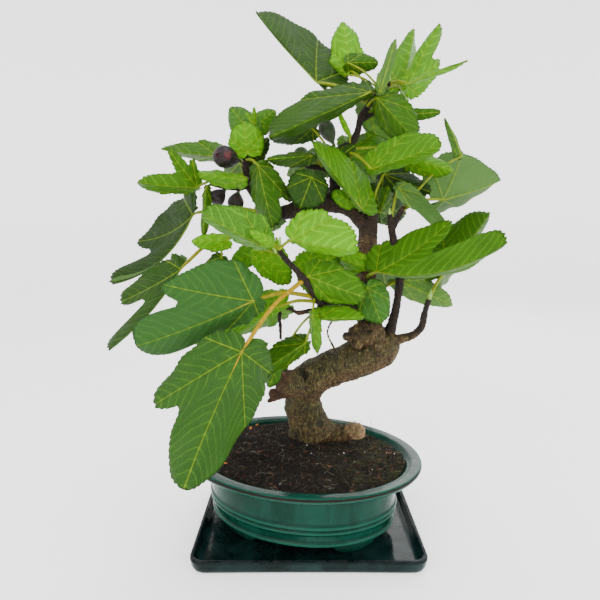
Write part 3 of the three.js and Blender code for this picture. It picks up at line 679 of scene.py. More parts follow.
class BONSAI_OT_pot(Operator):
    """Makes the glazed oval pot with its ribs, rolled rim, scrolled feet and drain holes"""
    bl_idname = "bonsai.pot"
    bl_label = "Pot"

    def execute(self, context):
        settings = context.scene.bonsai_pot
        profile = rounded(POT_OUTSIDE + POT_INSIDE, 2)
        lift = settings.rim_height / MM - profile[:, 1].max()
        profile[profile[:, 1] > WALL_Z, 1] += lift
        body = oval_body(profile, settings.segments, settings.turn)
        sides = settings.segments
        sharp = sharpness(profile, 3.2)[1:-1]
        radius, height = profile[1:-1].T
        lip = np.exp(-((radius - RIM_EDGE[0]) / 1.8) ** 2 - ((height - RIM_EDGE[1]) / 1.9) ** 2)
        ribs = np.clip(sharp, 0, 1) * (height < WALL_Z)
        worn = np.repeat(np.maximum(lip * 0.92, ribs * 0.22), sides)
        feet = [cloud_foot(angle, settings.turn) for angle in FEET]
        edge = [np.repeat(sharp, sides), np.zeros(2)] + [np.full(len(points), 0.1) for points, _ in feet]
        worn = [worn, np.zeros(2)] + [np.zeros(len(points)) for points, _ in feet]
        mesh = glazed_mesh("glazed_pot", [body] + feet, edge, worn)
        mesh = self.drained(mesh, settings.turn)
        add_piece("glazed_pot", mesh, [glaze_finish("pot_glaze", settings, 0.25)], ["pot"])
        return {"FINISHED"}

    def drained(self, mesh, turn):
        """The pot with the two drain holes cut through its floor."""
        drill = bpy.data.meshes.new("drain_pins")
        radius, depth = DRAIN_RADIUS * MM, 20 * MM
        work = bmesh.new()
        for out in (-DRAIN_OUT, DRAIN_OUT):
            pin = bmesh.ops.create_cone(
                work, cap_ends=True, segments=48, radius1=radius, radius2=radius, depth=depth)["verts"]
            spot = Vector((out * math.cos(turn), out * math.sin(turn), 18)) * MM
            bmesh.ops.translate(work, verts=pin, vec=spot)
        work.to_mesh(drill)
        work.free()
        pins = placed("drain_pins", drill)
        pot = placed("pot_before_drains", mesh)
        cut = pot.modifiers.new("drains", "BOOLEAN")
        cut.operation, cut.object, cut.solver = "DIFFERENCE", pins, "EXACT"
        cut.use_self = True
        drained = modified(pot)
        bpy.data.objects.remove(pins)
        if len(drained.vertices) < len(mesh.vertices) * 0.8:
            raise RuntimeError("the drain holes were not cut")
        drained.materials.clear()
        drained.shade_smooth()
        return drained


def rounded_rectangle(length, width, corner, height):
    """A ring of points round a rectangle with round corners, its straight sides divided too."""
    sides = 12  # of one corner
    ring = []
    for quarter, (sign_x, sign_y) in enumerate([(1, 1), (-1, 1), (-1, -1), (1, -1)]):
        for step in range(sides + 1):
            angle = (quarter + step / sides) * math.pi / 2
            ring.append((sign_x * (length / 2 - corner) + corner * math.cos(angle),
                         sign_y * (width / 2 - corner) + corner * math.sin(angle)))
    filled = []
    for here, after in zip(ring, ring[1:] + ring[:1]):
        pieces = max(1, round(math.dist(here, after) / 6))
        for piece in range(pieces):
            share = piece / pieces
            filled.append((here[0] * (1 - share) + after[0] * share,
                           here[1] * (1 - share) + after[1] * share, height))
    return np.array(filled)


class BONSAI_OT_saucer(Operator):
    """Makes the rectangular drip saucer with flaring walls"""
    bl_idname = "bonsai.saucer"
    bl_label = "Saucer"

    def execute(self, context):
        settings = context.scene.bonsai_saucer
        height = settings.height / MM
        length, width = (SAUCER_HIGH - SAUCER_LOW)[:2]
        middle = (SAUCER_HIGH + SAUCER_LOW) / 2
        steps = rounded([  # inset from the outer top edge, height
            (40, SAUCER_HOLLOW_Z), (12, SAUCER_HOLLOW_Z), (10.5, 0), (8, 0), (5.2, 0.7), (3.2, 2.6),
            (1.7, 6), (0.5, height - 4), (0.1, height - 2), (0.4, height - 0.6), (1.6, height),
            (3.4, height), (4.8, height - 0.9), (6.2, 11), (8.2, 7.6), (11.2, 6.15),
            (20, SAUCER_FLOOR_Z), (60, SAUCER_FLOOR_Z)], 2)
        corner = settings.corner / MM
        rings = [rounded_rectangle(length - 2 * inset, width - 2 * inset,
                                   max(corner + 2 - inset * 0.45, 3.0), z) for inset, z in steps]
        count = len(rings[0])
        rings = [self.matched(ring, count) for ring in rings]
        points = np.vstack(rings + [np.array([(0, 0, SAUCER_HOLLOW_Z), (0, 0, SAUCER_FLOOR_Z)])])
        points[:, :2] += middle[:2]
        sag = np.clip(1 - ((points[:, 0] - middle[0]) / (length / 2)) ** 2, 0, 1)
        points[:, 1] -= 1.1 * sag * np.sign(points[:, 1] - middle[1]) * (abs(points[:, 1]) > 60)
        body = points, skin((len(rings), count))
        sharp = sharpness(steps, 3.0)
        top = np.exp(-((steps[:, 1] - height) / 1.2) ** 2)
        mesh = glazed_mesh("glazed_saucer", [body], [np.repeat(sharp, count), np.zeros(2)],
                           [np.repeat(top * 0.66, count), np.zeros(2)])
        add_piece("glazed_saucer", mesh, [glaze_finish("saucer_glaze", settings, 0.55)],
                  ["saucer"])
        return {"FINISHED"}

    def matched(self, ring, count):
        """The same ring with exactly count points, evenly spread from the same start."""
        loop = np.vstack([ring, ring[:1]])
        run = np.concatenate([[0], np.cumsum(np.linalg.norm(np.diff(loop, axis=0), axis=1))])
        at = np.linspace(0, run[-1], count, endpoint=False)
        return np.stack([np.interp(at, run, loop[:, axis]) for axis in range(3)], 1)


class BONSAI_OT_screens(Operator):
    """Gives the two drain screens their moulded plastic"""
    bl_idname = "bonsai.screens"
    bl_label = "Drain screens"

    def execute(self, context):
        plastic = plastic_finish()
        for side in ("left", "right"):
            screen = frame["nodes"][f"drain_screen_{side}"]
            screen.data.materials.clear()
            screen.data.materials.append(plastic)
        return {"FINISHED"}


# ------------------------------------------------------------------ soil
SOIL_EDGE_Z = 88.5  # height of the soil where it meets the pot's wall
MOUND = [(0, 38, 60, 80, 88, 92.6), (103.6, 101.5, 96.4, 92.6, 91.2, 89.6)]  # radius, height


def rough_ground(x, y):
    """Height in millimetres of the soil's lumps at a place in millimetres."""
    spot = Vector((x / 26, y / 26, 3.7))
    return noise.fractal(spot, 0.8, 2.1, 5, noise_basis="PERLIN_ORIGINAL")


def ground_height(radius):
    """The mound: level near the wall, rising to the trunk."""
    return np.interp(radius, *MOUND)


HALF_TURN = 3.14159


class GroundTree:
    """A Geometry Nodes tree being built, with its inputs named and made in order."""

    def __init__(self, name):
        self.tree = bpy.data.node_groups.new(name, "GeometryNodeTree")
        self.tree.interface.new_socket("Geometry", in_out="INPUT", socket_type="NodeSocketGeometry")
        self.tree.interface.new_socket("Geometry", in_out="OUTPUT", socket_type="NodeSocketGeometry")
        self.inputs = self.tree.nodes.new("NodeGroupInput")
        self.output = self.tree.nodes.new("NodeGroupOutput")

    def input(self, name, kind, default=None):
        socket = self.tree.interface.new_socket(name, in_out="INPUT", socket_type=kind)
        if default is not None:
            socket.default_value = default
        return self.inputs.outputs[name]

    def add(self, kind, **links):
        """Adds a node. Each keyword is an input's name, with _ for a space, and its value or socket."""
        node = self.tree.nodes.new(kind)
        for name, value in links.items():
            self.feed(node.inputs[name.replace("_", " ")], value)
        return node

    def feed(self, socket, value):
        if isinstance(value, bpy.types.NodeSocket):
            self.tree.links.new(value, socket)
        else:
            socket.default_value = value

    def random(self, low, high, seed, vector=False):
        node = self.add("FunctionNodeRandomValue")
        node.data_type = "FLOAT_VECTOR" if vector else "FLOAT"
        offset = 0 if vector else 2
        self.feed(node.inputs[offset], low)
        self.feed(node.inputs[offset + 1], high)
        self.feed(node.inputs["Seed"], seed)
        return node.outputs[0 if vector else 1]

    def number(self, operation, first, second, kind="ShaderNodeMath"):
        node = self.add(kind)
        node.operation = operation
        self.feed(node.inputs[0], first)
        self.feed(node.inputs["Scale" if operation == "SCALE" else 1], second)
        return node.outputs[0]

    def vector(self, operation, first, second):
        return self.number(operation, first, second, "ShaderNodeVectorMath")

    def shaken(self, geometry, size, middle, push):
        """Moves points by noise about size metres across; middle is the noise that moves nothing."""
        ripple = self.add("ShaderNodeTexNoise", Scale=1 / size).outputs["Color"]
        offset = self.vector("SCALE", self.vector("SUBTRACT", ripple, middle), push)
        return self.add("GeometryNodeSetPosition", Geometry=geometry, Offset=offset).outputs[0]

    def scatter(self, shape, scale, turn):
        """Strews shape over the upward faces of the input, and keeps each one's own tone."""
        density = self.input("Density", "NodeSocketFloat", 1000.0)
        seed = self.input("Seed", "NodeSocketInt", 1)
        lift = self.input("Lift", "NodeSocketFloat", 0.0)
        normal = self.add("GeometryNodeInputNormal")
        up = self.add("ShaderNodeSeparateXYZ", Vector=normal.outputs[0])
        place = self.add("GeometryNodeInputPosition")
        height = self.add("ShaderNodeSeparateXYZ", Vector=place.outputs[0])
        faces_up = self.number("GREATER_THAN", up.outputs[2], 0.3)
        lowest = self.input("Lowest", "NodeSocketFloat", 0.0)
        on_top = self.number("GREATER_THAN", height.outputs[2], lowest)
        points = self.add("GeometryNodeDistributePointsOnFaces", Mesh=self.inputs.outputs["Geometry"],
                          Selection=self.number("MULTIPLY", faces_up, on_top), Density=density, Seed=seed)
        offset = self.add("ShaderNodeCombineXYZ", Z=lift)
        raised = self.add("GeometryNodeSetPosition", Geometry=points.outputs[0], Offset=offset.outputs[0])
        strewn = self.add("GeometryNodeInstanceOnPoints", Points=raised.outputs[0], Instance=shape,
                          Rotation=turn, Scale=scale)
        keep = self.add("GeometryNodeStoreNamedAttribute", Geometry=strewn.outputs[0], Name="tone")
        keep.data_type, keep.domain = "FLOAT", "INSTANCE"
        self.feed(keep.inputs["Value"], self.random(0.0, 1.0, self.number("ADD", seed, 7)))
        return self.add("GeometryNodeRealizeInstances", Geometry=keep.outputs[0]).outputs[0]

    def finish(self, geometry):
        """Ends the tree in Set Material."""
        material = self.input("Material", "NodeSocketMaterial")
        last = self.add("GeometryNodeSetMaterial", Geometry=geometry, Material=material)
        self.tree.links.new(last.outputs[0], self.output.inputs[0])
        return self.tree


def crumb_tree(name, stretch):
    """Irregular crumbs, chips or grains, each turned at random and stretched by its own amounts."""
    build = GroundTree(name)
    smallest = build.input("Smallest", "NodeSocketFloat", 0.001)
    largest = build.input("Largest", "NodeSocketFloat", 0.003)
    seed = build.input("Shape seed", "NodeSocketInt", 3)
    ball = build.add("GeometryNodeMeshIcoSphere", Radius=0.5, Subdivisions=1)
    sized = build.vector("SCALE", stretch, build.random(smallest, largest, seed))
    wobble = build.random((0.6, 0.6, 0.6), (1.25, 1.25, 1.25), build.number("ADD", seed, 1), True)
    tilt = build.input("Tilt", "NodeSocketFloat", 3.1)
    most = build.add("ShaderNodeCombineXYZ", X=tilt, Y=tilt, Z=HALF_TURN).outputs[0]
    least = build.vector("SCALE", most, -1.0)
    turn = build.random(least, most, build.number("ADD", seed, 2), True)
    bits = build.scatter(ball.outputs[0], build.vector("MULTIPLY", sized, wobble), turn)
    moved = build.shaken(bits, 1 / 900, (0.5, 0.5, 0.5), build.number("MULTIPLY", smallest, 0.9))
    flat = build.add("GeometryNodeSetShadeSmooth", Geometry=moved, Shade_Smooth=False)
    return build.finish(flat.outputs[0])


def fibre_tree():
    """Fine root fibres that curl over the ground and end tapered."""
    build = GroundTree("root_fibres")
    shortest = build.input("Shortest", "NodeSocketFloat", 0.004)
    longest = build.input("Longest", "NodeSocketFloat", 0.016)
    curl = build.input("Curl", "NodeSocketFloat", 0.006)
    radius = build.input("Radius", "NodeSocketFloat", 0.0002)
    line = build.add("GeometryNodeMeshLine", Count=9, Start_Location=(-0.5, 0, 0), Offset=(0.5, 0, 0))
    line.mode = "END_POINTS"
    way = build.add("GeometryNodeMeshToCurve", Mesh=line.outputs[0])
    length = build.random(shortest, longest, 11)
    scale = build.add("ShaderNodeCombineXYZ", X=length, Y=length, Z=length)
    turn = build.random((-0.35, -0.35, -HALF_TURN), (0.35, 0.35, HALF_TURN), 12, True)
    strands = build.scatter(way.outputs[0], scale.outputs[0], turn)
    moved = build.shaken(strands, 1 / 150, (0.5, 0.5, 0.42), curl)
    section = build.add("GeometryNodeCurvePrimitiveCircle", Resolution=4, Radius=radius)
    strand = build.add("GeometryNodeCurveToMesh", Curve=moved, Profile_Curve=section.outputs[0],
                       Fill_Caps=True)
    return build.finish(strand.outputs[0])


def strew(name, ground, tree, values, material):
    """Runs a Geometry Nodes tree on the ground and shows the plain mesh that it gives."""
    carrier = placed(name + "_carrier", ground)
    modifier = carrier.modifiers.new(name, "NODES")
    modifier.node_group = tree
    sockets = {item.name: item.identifier for item in tree.interface.items_tree
               if item.in_out == "INPUT"}
    for setting, value in {**values, "Material": material}.items():
        modifier[sockets[setting]] = value
    mesh = modified(carrier)
    if not len(mesh.polygons):
        raise RuntimeError(f"{name}: nothing was strewn")
    mesh.name = name
    mesh.materials.clear()
    return add_piece(name, mesh, [material])


class BONSAI_OT_soil(Operator):
    """Makes the potting soil with its crumbs, bark chips, root fibres and white grains"""
    bl_idname = "bonsai.soil"
    bl_label = "Soil"

    def execute(self, context):
        settings = context.scene.bonsai_soil
        turn = context.scene.bonsai_pot.turn
        ground = self.ground(settings, turn)
        top = ground.copy()
        add_piece("potting_soil", ground, [earth_finish(settings)], ["soil"])
        seed = settings.seed
        ground_top = {"Lowest": SOIL_EDGE_Z * MM}

        def bits(name, stretch, finish, number, lift, **values):
            strew(name, top, crumb_tree(name, stretch), {
                **ground_top, **{key.replace("_", " "): value for key, value in values.items()},
                "Density": number, "Lift": lift}, finish)

        dark = crumb_finish("soil_crumb", [
            (0.0, (0.002, 0.0016, 0.0012)), (0.50, (0.007, 0.0046, 0.003)), (0.85, (0.018, 0.010, 0.006)),
            (1.0, (0.050, 0.027, 0.016))], 0.95, 0.6)
        bits("soil_crumbs", (1.0, 0.8, 0.6), dark, settings.crumbs, 0.0, Seed=seed, Shape_seed=seed + 1,
             Smallest=0.0010, Largest=0.0036)
        bark = crumb_finish("bark_chip", [
            (0.0, (0.016, 0.007, 0.004)), (0.7, (0.050, 0.020, 0.011)), (1.0, (0.105, 0.050, 0.030))])
        bits("bark_chips", (1.0, 0.30, 0.16), bark, settings.chips, 0.0006, Seed=seed + 2,
             Shape_seed=seed + 3, Tilt=0.5, Smallest=0.003, Largest=0.009)
        rust = crumb_finish("orange_flake", [(0.0, (0.42, 0.105, 0.018)), (1.0, (0.62, 0.19, 0.04))])
        bits("orange_flakes", (1.0, 0.42, 0.14), rust, settings.flakes, 0.0016, Seed=seed + 23,
             Shape_seed=seed + 5, Tilt=0.3, Smallest=0.004, Largest=0.0075)
        white = crumb_finish("white_grain", [(0.0, (0.42, 0.40, 0.36)), (1.0, (0.72, 0.70, 0.64))], 0.8)
        bits("white_grains", (1.0, 0.9, 0.8), white, settings.grains, 0.0010, Seed=seed + 6,
             Shape_seed=seed + 7, Smallest=0.0009, Largest=0.0020)
        pale = crumb_finish("pale_fibre", [
            (0.0, (0.012, 0.008, 0.005)), (0.60, (0.035, 0.028, 0.016)), (0.90, (0.11, 0.10, 0.065)),
            (1.0, (0.26, 0.25, 0.19))], 0.8)
        fibres = fibre_tree()
        strew("root_fibres", top, fibres, {
            **ground_top, "Density": settings.fibres, "Seed": seed + 8, "Lift": 0.0012,
            "Radius": 0.00011, "Shortest": 0.004, "Longest": 0.013, "Curl": 0.009}, pale)
        strew("long_fibres", top, fibres, {
            **ground_top, "Density": settings.long_fibres, "Seed": seed + 9, "Lift": 0.0026,
            "Radius": 0.00020, "Shortest": 0.010, "Longest": 0.022, "Curl": 0.016}, pale)
        return {"FINISHED"}

    def ground(self, settings, turn):
        """The whole body of soil, with lumps on its top."""
        sides, rings_across = 200, 70
        wall = [(radius - GAP, height) for radius, height in POT_INSIDE[3:12]][::-1]
        bottom = POT_FLOOR_Z + GAP + 1.3
        below = [(0, bottom), (30, bottom), (60, bottom)] + [(r, max(z, bottom)) for r, z in wall[1:]]
        across = np.linspace(92.0, 0.0, rings_across)
        top = [(radius, float(ground_height(radius))) for radius in across]
        profile = np.array(below[:-1] + [(92.4, 89.0)] + top)
        points, faces = oval_body(profile, sides, turn)
        lump = settings.roughness / MM
        first = (len(below) - 1) * sides
        for index in range(first, len(points)):
            x, y, z = points[index]
            if z > SOIL_EDGE_Z:
                rise = rough_ground(x, y) + 0.45 * rough_ground(x * 3.1 + 40, y * 3.1)
                points[index, 2] = z + lump * min(rise, 0.9)
        mesh = new_mesh("potting_soil", points, faces)
        outward(mesh)
        return mesh


# ------------------------------------------------------------------ wood
# Each limb: its name and its knots (x, y, z, radius), from the thick end to the thin one.
WOOD = [
    ("trunk", [
        (12, 30, 65, 33), (13, 29, 95, 31), (9, 27, 116, 25), (3, 25, 138, 21.5), (3, 23, 157, 21),
        (9, 21, 174, 22), (28, 19, 186, 21), (52, 17, 197, 21.5), (77, 16, 206, 22), (95, 16, 217, 22),
        (98, 16, 231, 17)]),
    ("upright", [
        (84, 17, 222, 21), (80, 16, 247, 15), (77, 14, 273, 12), (75, 14, 306, 11.5),
        (76, 16, 339, 11), (77, 18, 359, 10.5), (79, 19, 374, 10)]),
    ("left_limb", [
        (75, 18, 359, 9.5), (56, 18, 379, 10.5), (37, 15, 385, 10.5), (16, 11, 383, 10.5),
        (-4, 7, 378, 9.5), (-22, 4, 374, 8), (-38, 5, 377, 6), (-51, 9, 389, 5), (-61, 12, 408, 4.4),
        (-63, 13, 428, 4), (-65, 15, 448, 3.2)]),
    ("low_left_twig", [
        (-29, 5, 375, 5), (-44, 3, 370, 3.8), (-62, 0, 361, 3.2), (-78, -4, 352, 2.8),
        (-91, -7, 346, 2.2)]),
    ("top_limb", [
        (42, 15, 384, 7.5), (38, 17, 404, 6.5), (38, 18, 425, 6.5), (40, 19, 438, 7),
        (49, 20, 447, 5.5), (58, 22, 453, 4.6), (64, 23, 467, 4), (67, 23, 480, 4.2),
        (73, 23, 490, 4.2), (82, 22, 502, 3.8), (90, 20, 509, 3.4), (99, 15, 517, 2.6)]),
    ("top_stub", [
        (70, 23, 479, 2.8), (80, 22, 484, 2.4), (91, 20, 487, 2)]),
    ("right_twig_a", [
        (98, 12, 219, 9), (104, 11, 236, 6.5), (109, 8, 260, 5), (112, 6, 284, 4.6),
        (113, 4, 309, 4.4), (107, 2, 330, 4.2), (103, 0, 346, 4.2), (100, 0, 361, 4),
        (99, 0, 373, 2.6)]),
    ("right_twig_fork", [
        (103, 0, 357, 3.2), (108, -1, 370, 2.8), (114, -2, 380, 2.4)]),
    ("right_twig_b", [
        (93, 12, 222, 8), (113, 9, 227, 6), (129, 5, 233, 4.6), (138, 0, 244, 4.2),
        (140, -3, 258, 3.8), (144, -6, 277, 3.2)]),
    ("front_twig", [
        (78, 14, 256, 8), (60, 0, 265, 6.5), (41, -14, 271, 5.2), (24, -28, 274, 4.8),
        (14, -38, 285, 4.4), (9, -44, 296, 4.2), (1, -50, 305, 4.2), (-6, -50, 314, 3.6),
        (-14, -50, 322, 3.2), (-21, -51, 331, 2.8), (-25, -52, 342, 2.2)]),
    ("front_stub", [
        (27, -26, 269, 4), (11, -32, 268, 3.2), (-4, -36, 266, 2.8)]),
    ("wire_root", [
        (36, -16, 257, 1.6), (31, -12, 247, 1.2), (30, -6, 236, 1.2), (38, 4, 218, 1.6)]),
    ("stub_upper", [
        (-2, 4, 182, 9), (-18, -4, 187, 8), (-32, -8, 189, 6.5)]),
    ("stub_lower", [
        (-2, 8, 164, 8), (-21, 2, 164, 6), (-37, -2, 166, 5)]),
    ("surface_root", [
        (35, 20, 107, 14), (52, 14, 110, 10), (63, 8, 116, 10), (71, 3, 114, 8.5)]),
    ("fig_twig", [
        (-59, 12, 406, 3.6), (-71, 13, 402, 3), (-84, 11, 402, 2.6), (-100, 9, 405, 2)]),
    ("centre_twig", [
        (38, 18, 420, 4), (23, 14, 424, 3.2), (7, 11, 426, 2.6), (-8, 8, 431, 2.2)]),
    ("burl", [
        (59, 2, 231, 12), (74, -1, 236, 14), (91, 2, 231, 12)]),
]
# Limbs that only the shown wood has: a dead hanging stalk, snags, the knobs of the burl, the pale
# end of the surface root, the flare of the trunk's foot and the swelling round the cut stubs.
SNAGS = [
    ("hanging_stalk", [
        (-4, -36, 266, 2.2), (-14, -33, 271, 2.0), (-22, -31, 270, 1.9), (-24, -31, 262, 1.9),
        (-23, -31, 249, 2.2), (-23, -31, 236, 1.8)]),
    ("snag_left_high", [(-16, -8, 190, 5.5), (-27, -13, 195, 4.2), (-34, -15, 197, 3.0)]),
    ("snag_left_low", [(-20, 0, 164, 5), (-33, -5, 160, 3.6), (-39, -7, 157, 2.6)]),
    ("knob_front", [(66, -6, 226, 6), (64, -16, 227, 4.5)]),
    ("knob_left", [(56, -4, 232, 6), (49, -11, 236, 4)]),
    ("knob_right", [(84, -6, 226, 6), (87, -14, 224, 4.5)]),
    ("knob_low", [(76, -8, 219, 5), (76, -14, 215, 4)]),
    ("root_nodule", [(60, 6, 115, 8), (65, 3, 117, 11), (71, 0, 114, 9)]),
    ("flare_right", [(16, 14, 126, 15), (28, 10, 108, 17)]),
    ("stub_swelling", [(-4, 4, 176, 15), (-17, -3, 175, 12), (-27, -6, 178, 8)]),
]
CUTS = [  # where a limb was cut: place and reach
    (-32, -9, 189, 16), (-37, -3, 166, 16), (-2, -37, 266, 5), (90, 20, 487, 5), (114, -2, 380, 4),
]
SCARS = [  # round hollows where a limb once grew: place, radius, depth
    (-1, 3, 185, 8.5, 4.2), (76, -14, 242, 3.4, 3.0), (88, -12, 236, 2.6, 1.6),
    (60, -10, 226, 3.4, 2.0), (22, -2, 128, 6, 1.4), (92, 2, 250, 3, 1.2), (84, 3, 318, 3.4, 1.2),
]
PALE_NODULE = (68, -2, 118, 13)  # place and reach of the bare, pale end of the surface root
BURL_MIDDLE, BURL_REACH = (76, 0, 233), (26, 20, 15)


def distance(points, place):
    return np.linalg.norm(points - np.array(place, float), axis=1)


def smooth_way(knots, step):
    """Points about step apart on a smooth curve through the knots, all columns alike."""
    knots = np.array(knots, float)
    if len(knots) == 2:
        knots = np.array([knots[0], knots.mean(0), knots[1]])
    ends = np.vstack([2 * knots[0] - knots[1], knots, 2 * knots[-1] - knots[-2]])
    spans = []
    for before, here, there, after in zip(ends[:-3], ends[1:-2], ends[2:-1], ends[3:]):
        count = max(2, int(np.linalg.norm((there - here)[:3]) / step))
        share = np.linspace(0, 1, count, endpoint=False)[:, None]
        spans.append(0.5 * (2 * here + (there - before) * share
                            + (2 * before - 5 * here + 4 * there - after) * share ** 2
                            + (3 * here - 3 * there + after - before) * share ** 3))
    return np.vstack(spans + [knots[-1:]])


def tube(way, radius, sides):
    """A closed tube of changing radius: its points and faces."""
    way = np.asarray(way, float)
    radius = np.broadcast_to(radius, len(way))
    tangent = np.gradient(way, axis=0)
    tangent /= np.linalg.norm(tangent, axis=1, keepdims=True)
    across = np.cross(tangent[0], (0.3, 1.0, 0.2))
    rings = []
    angle = np.arange(sides) / sides * 2 * math.pi
    for centre, ahead, size in zip(way, tangent, radius):
        across = across - ahead * (across @ ahead)
        across /= np.linalg.norm(across)
        up = np.cross(ahead, across)
        rings.append(centre + size * (np.outer(np.cos(angle), across) + np.outer(np.sin(angle), up)))
    ends = [way[0] - tangent[0] * radius[0] * 0.5, way[-1] + tangent[-1] * radius[-1] * 0.5]
    return np.vstack(rings + [np.array(ends)]), skin((len(way), sides))


class BONSAI_OT_wood(Operator):
    """Grows the trunk, limbs, twigs, stubs and roots into one skin with its bark relief"""
    bl_idname = "bonsai.wood"
    bl_label = "Wood"

    def execute(self, context):
        settings = context.scene.bonsai_wood
        limbs, core = Joined(), []
        for order, (_, knots) in enumerate(WOOD + SNAGS):
            way = smooth_way(knots, 3.0)
            swell = np.array([1 + 0.10 * noise.noise(Vector((i * 0.22, order * 7.3, 1.0)))
                              for i in range(len(way))])
            limbs.add(*tube(way[:, :3], way[:, 3] * swell, 28 if way[0, 3] > 12 else 12))
            run = np.concatenate([[0], np.cumsum(np.linalg.norm(np.diff(way[:, :3], axis=0), axis=1))])
            core += [(*row, length + order * 31) for row, length in zip(way, run)]
        mesh = self.blend(limbs.mesh("limbs"), settings.voxel)
        self.carve(mesh, np.array(core), settings)
        mesh.name = "tree_wood"
        add_piece("tree_wood", mesh, [bark_finish(settings)], ["wood"])
        self.add_root_hairs()
        return {"FINISHED"}

    def blend(self, mesh, voxel):
        """Remeshes the crossing limbs into one closed skin."""
        carrier = placed("limbs", mesh)
        remesh = carrier.modifiers.new("one skin", "REMESH")
        remesh.mode, remesh.voxel_size, remesh.use_smooth_shade = "VOXEL", voxel, True
        soften = carrier.modifiers.new("soft joints", "SMOOTH")
        soften.factor, soften.iterations = 0.5, 3
        return modified(carrier)

    def carve(self, mesh, core, settings):
        """Raises the bark: lumps, growth rings, scars and cut ends, and marks them for the finish."""
        count = len(mesh.vertices)
        place = np.empty(count * 3)
        normal = np.empty(count * 3)
        mesh.vertices.foreach_get("co", place)
        mesh.vertices.foreach_get("normal", normal)
        place, normal = place.reshape(-1, 3) / MM, normal.reshape(-1, 3)
        tree = KDTree(len(core))
        for index, row in enumerate(core):
            tree.insert(row[:3], index)
        tree.balance()
        along, girth = np.empty(count), np.empty(count)
        for index, spot in enumerate(place):
            found = min(tree.find_n(spot, 6), key=lambda hit: hit[2] - core[hit[1], 3])
            girth[index], along[index] = core[found[1], 3:5]
            before = core[max(found[1] - 1, 0), :3]
            ahead = core[min(found[1] + 1, len(core) - 1), :3] - before
            size = np.linalg.norm(ahead)
            if 0 < size < 12:
                along[index] += (spot - core[found[1], :3]) @ ahead / size
        big = np.clip((girth - 6) / 12, 0, 1)
        lumps = np.array([noise.fractal(Vector(spot / 17), 0.9, 2.0, 4) for spot in place])
        fine = np.array([noise.fractal(Vector(spot / 4.2), 0.7, 2.1, 3) for spot in place])
        crease = np.array([1 - 2 * abs(noise.noise(Vector((spot[0] / 15, spot[1] / 15, spot[2] / 5))))
                           for spot in place])
        relief = settings.relief / MM
        rise = relief * (lumps * (0.7 + 1.7 * big) + fine * (0.25 + 0.45 * big) + crease * 0.35 * big)
        rings = np.maximum(0, np.sin(along / 6.2 * 2 * math.pi + 2.0 * lumps)) ** 6
        rise += relief * rings * np.where(girth < 8, 0.60, 0.30)
        burl = np.exp(-distance(place / BURL_REACH, np.divide(BURL_MIDDLE, BURL_REACH)) ** 2)
        rise += burl * 2.6 * fine + burl * 2.2 * np.abs(lumps)
        scar = np.zeros(count)
        for x, y, z, radius, depth in SCARS:
            away = distance(place, (x, y, z))
            facing = normal[:, 1] < 0.35
            hollow = np.clip(1 - (away / radius) ** 2, 0, 1) * facing
            rim = np.exp(-((away - radius * 1.12) / (radius * 0.22)) ** 2) * facing
            rise += -depth * hollow + 0.42 * depth * rim
            scar = np.maximum(scar, np.clip(hollow * 1.6, 0, 1))
        cut = np.zeros(count)
        for x, y, z, reach in CUTS:
            cut = np.maximum(cut, np.clip(1.7 - distance(place, (x, y, z)) / reach, 0, 1))
        *middle, reach = PALE_NODULE
        pale = np.clip(1.6 - distance(place, middle) / reach, 0, 1)
        pale *= np.clip(0.85 + lumps, 0, 1)
        rise = np.clip(rise, -4, 4)
        mesh.vertices.foreach_set("co", ((place + normal * rise[:, None]) * MM).ravel())
        for name, values in (("along", along * MM), ("girth", girth * MM), ("scar", scar), ("cut", cut),
                             ("pale", pale), ("sky", normal[:, 2])):
            mark(mesh, name, values)
        mesh.update()

    def add_root_hairs(self):
        """Fine curly roots and moss stalks by the pale nodule."""
        draw = np.random.RandomState(4)
        hairs = Joined()
        for hair in range(46):
            x = 42 + 30 * draw.rand()
            foot = np.array([x, 6 + 10 * draw.rand(), 120 + 2 * draw.rand()])
            lean = draw.normal(0, 1, 3) * (0.6, 0.6, 0.2) + (0, -0.1, 0.9)
            length = 4 + 5 * draw.rand()
            size = 0.32
            if hair == 0:
                foot, lean, length, size = np.array([78, 2, 112]), np.array([0.02, 0.1, 1.0]), 30, 0.36
            share = np.linspace(0, 1, 9)[:, None]
            curl = np.hstack([np.sin(share * 3.4 + hair) - math.sin(hair),
                              np.cos(share * 2.3 + hair) - math.cos(hair), -0.4 * share ** 2])
            way = foot + lean * share * length + curl * length * 0.16
            hairs.add(*tube(way, np.linspace(size, size * 0.35, 9), 5))
        finish = Finish("root_hair", 0.8)
        tone = finish.noise(0.004, 3)
        add_piece("root_hairs", hairs.mesh("root_hairs"), [finish.colour(finish.ramp(
            tone, [(0.4, (0.010, 0.012, 0.005)), (0.6, (0.035, 0.040, 0.012))]))])


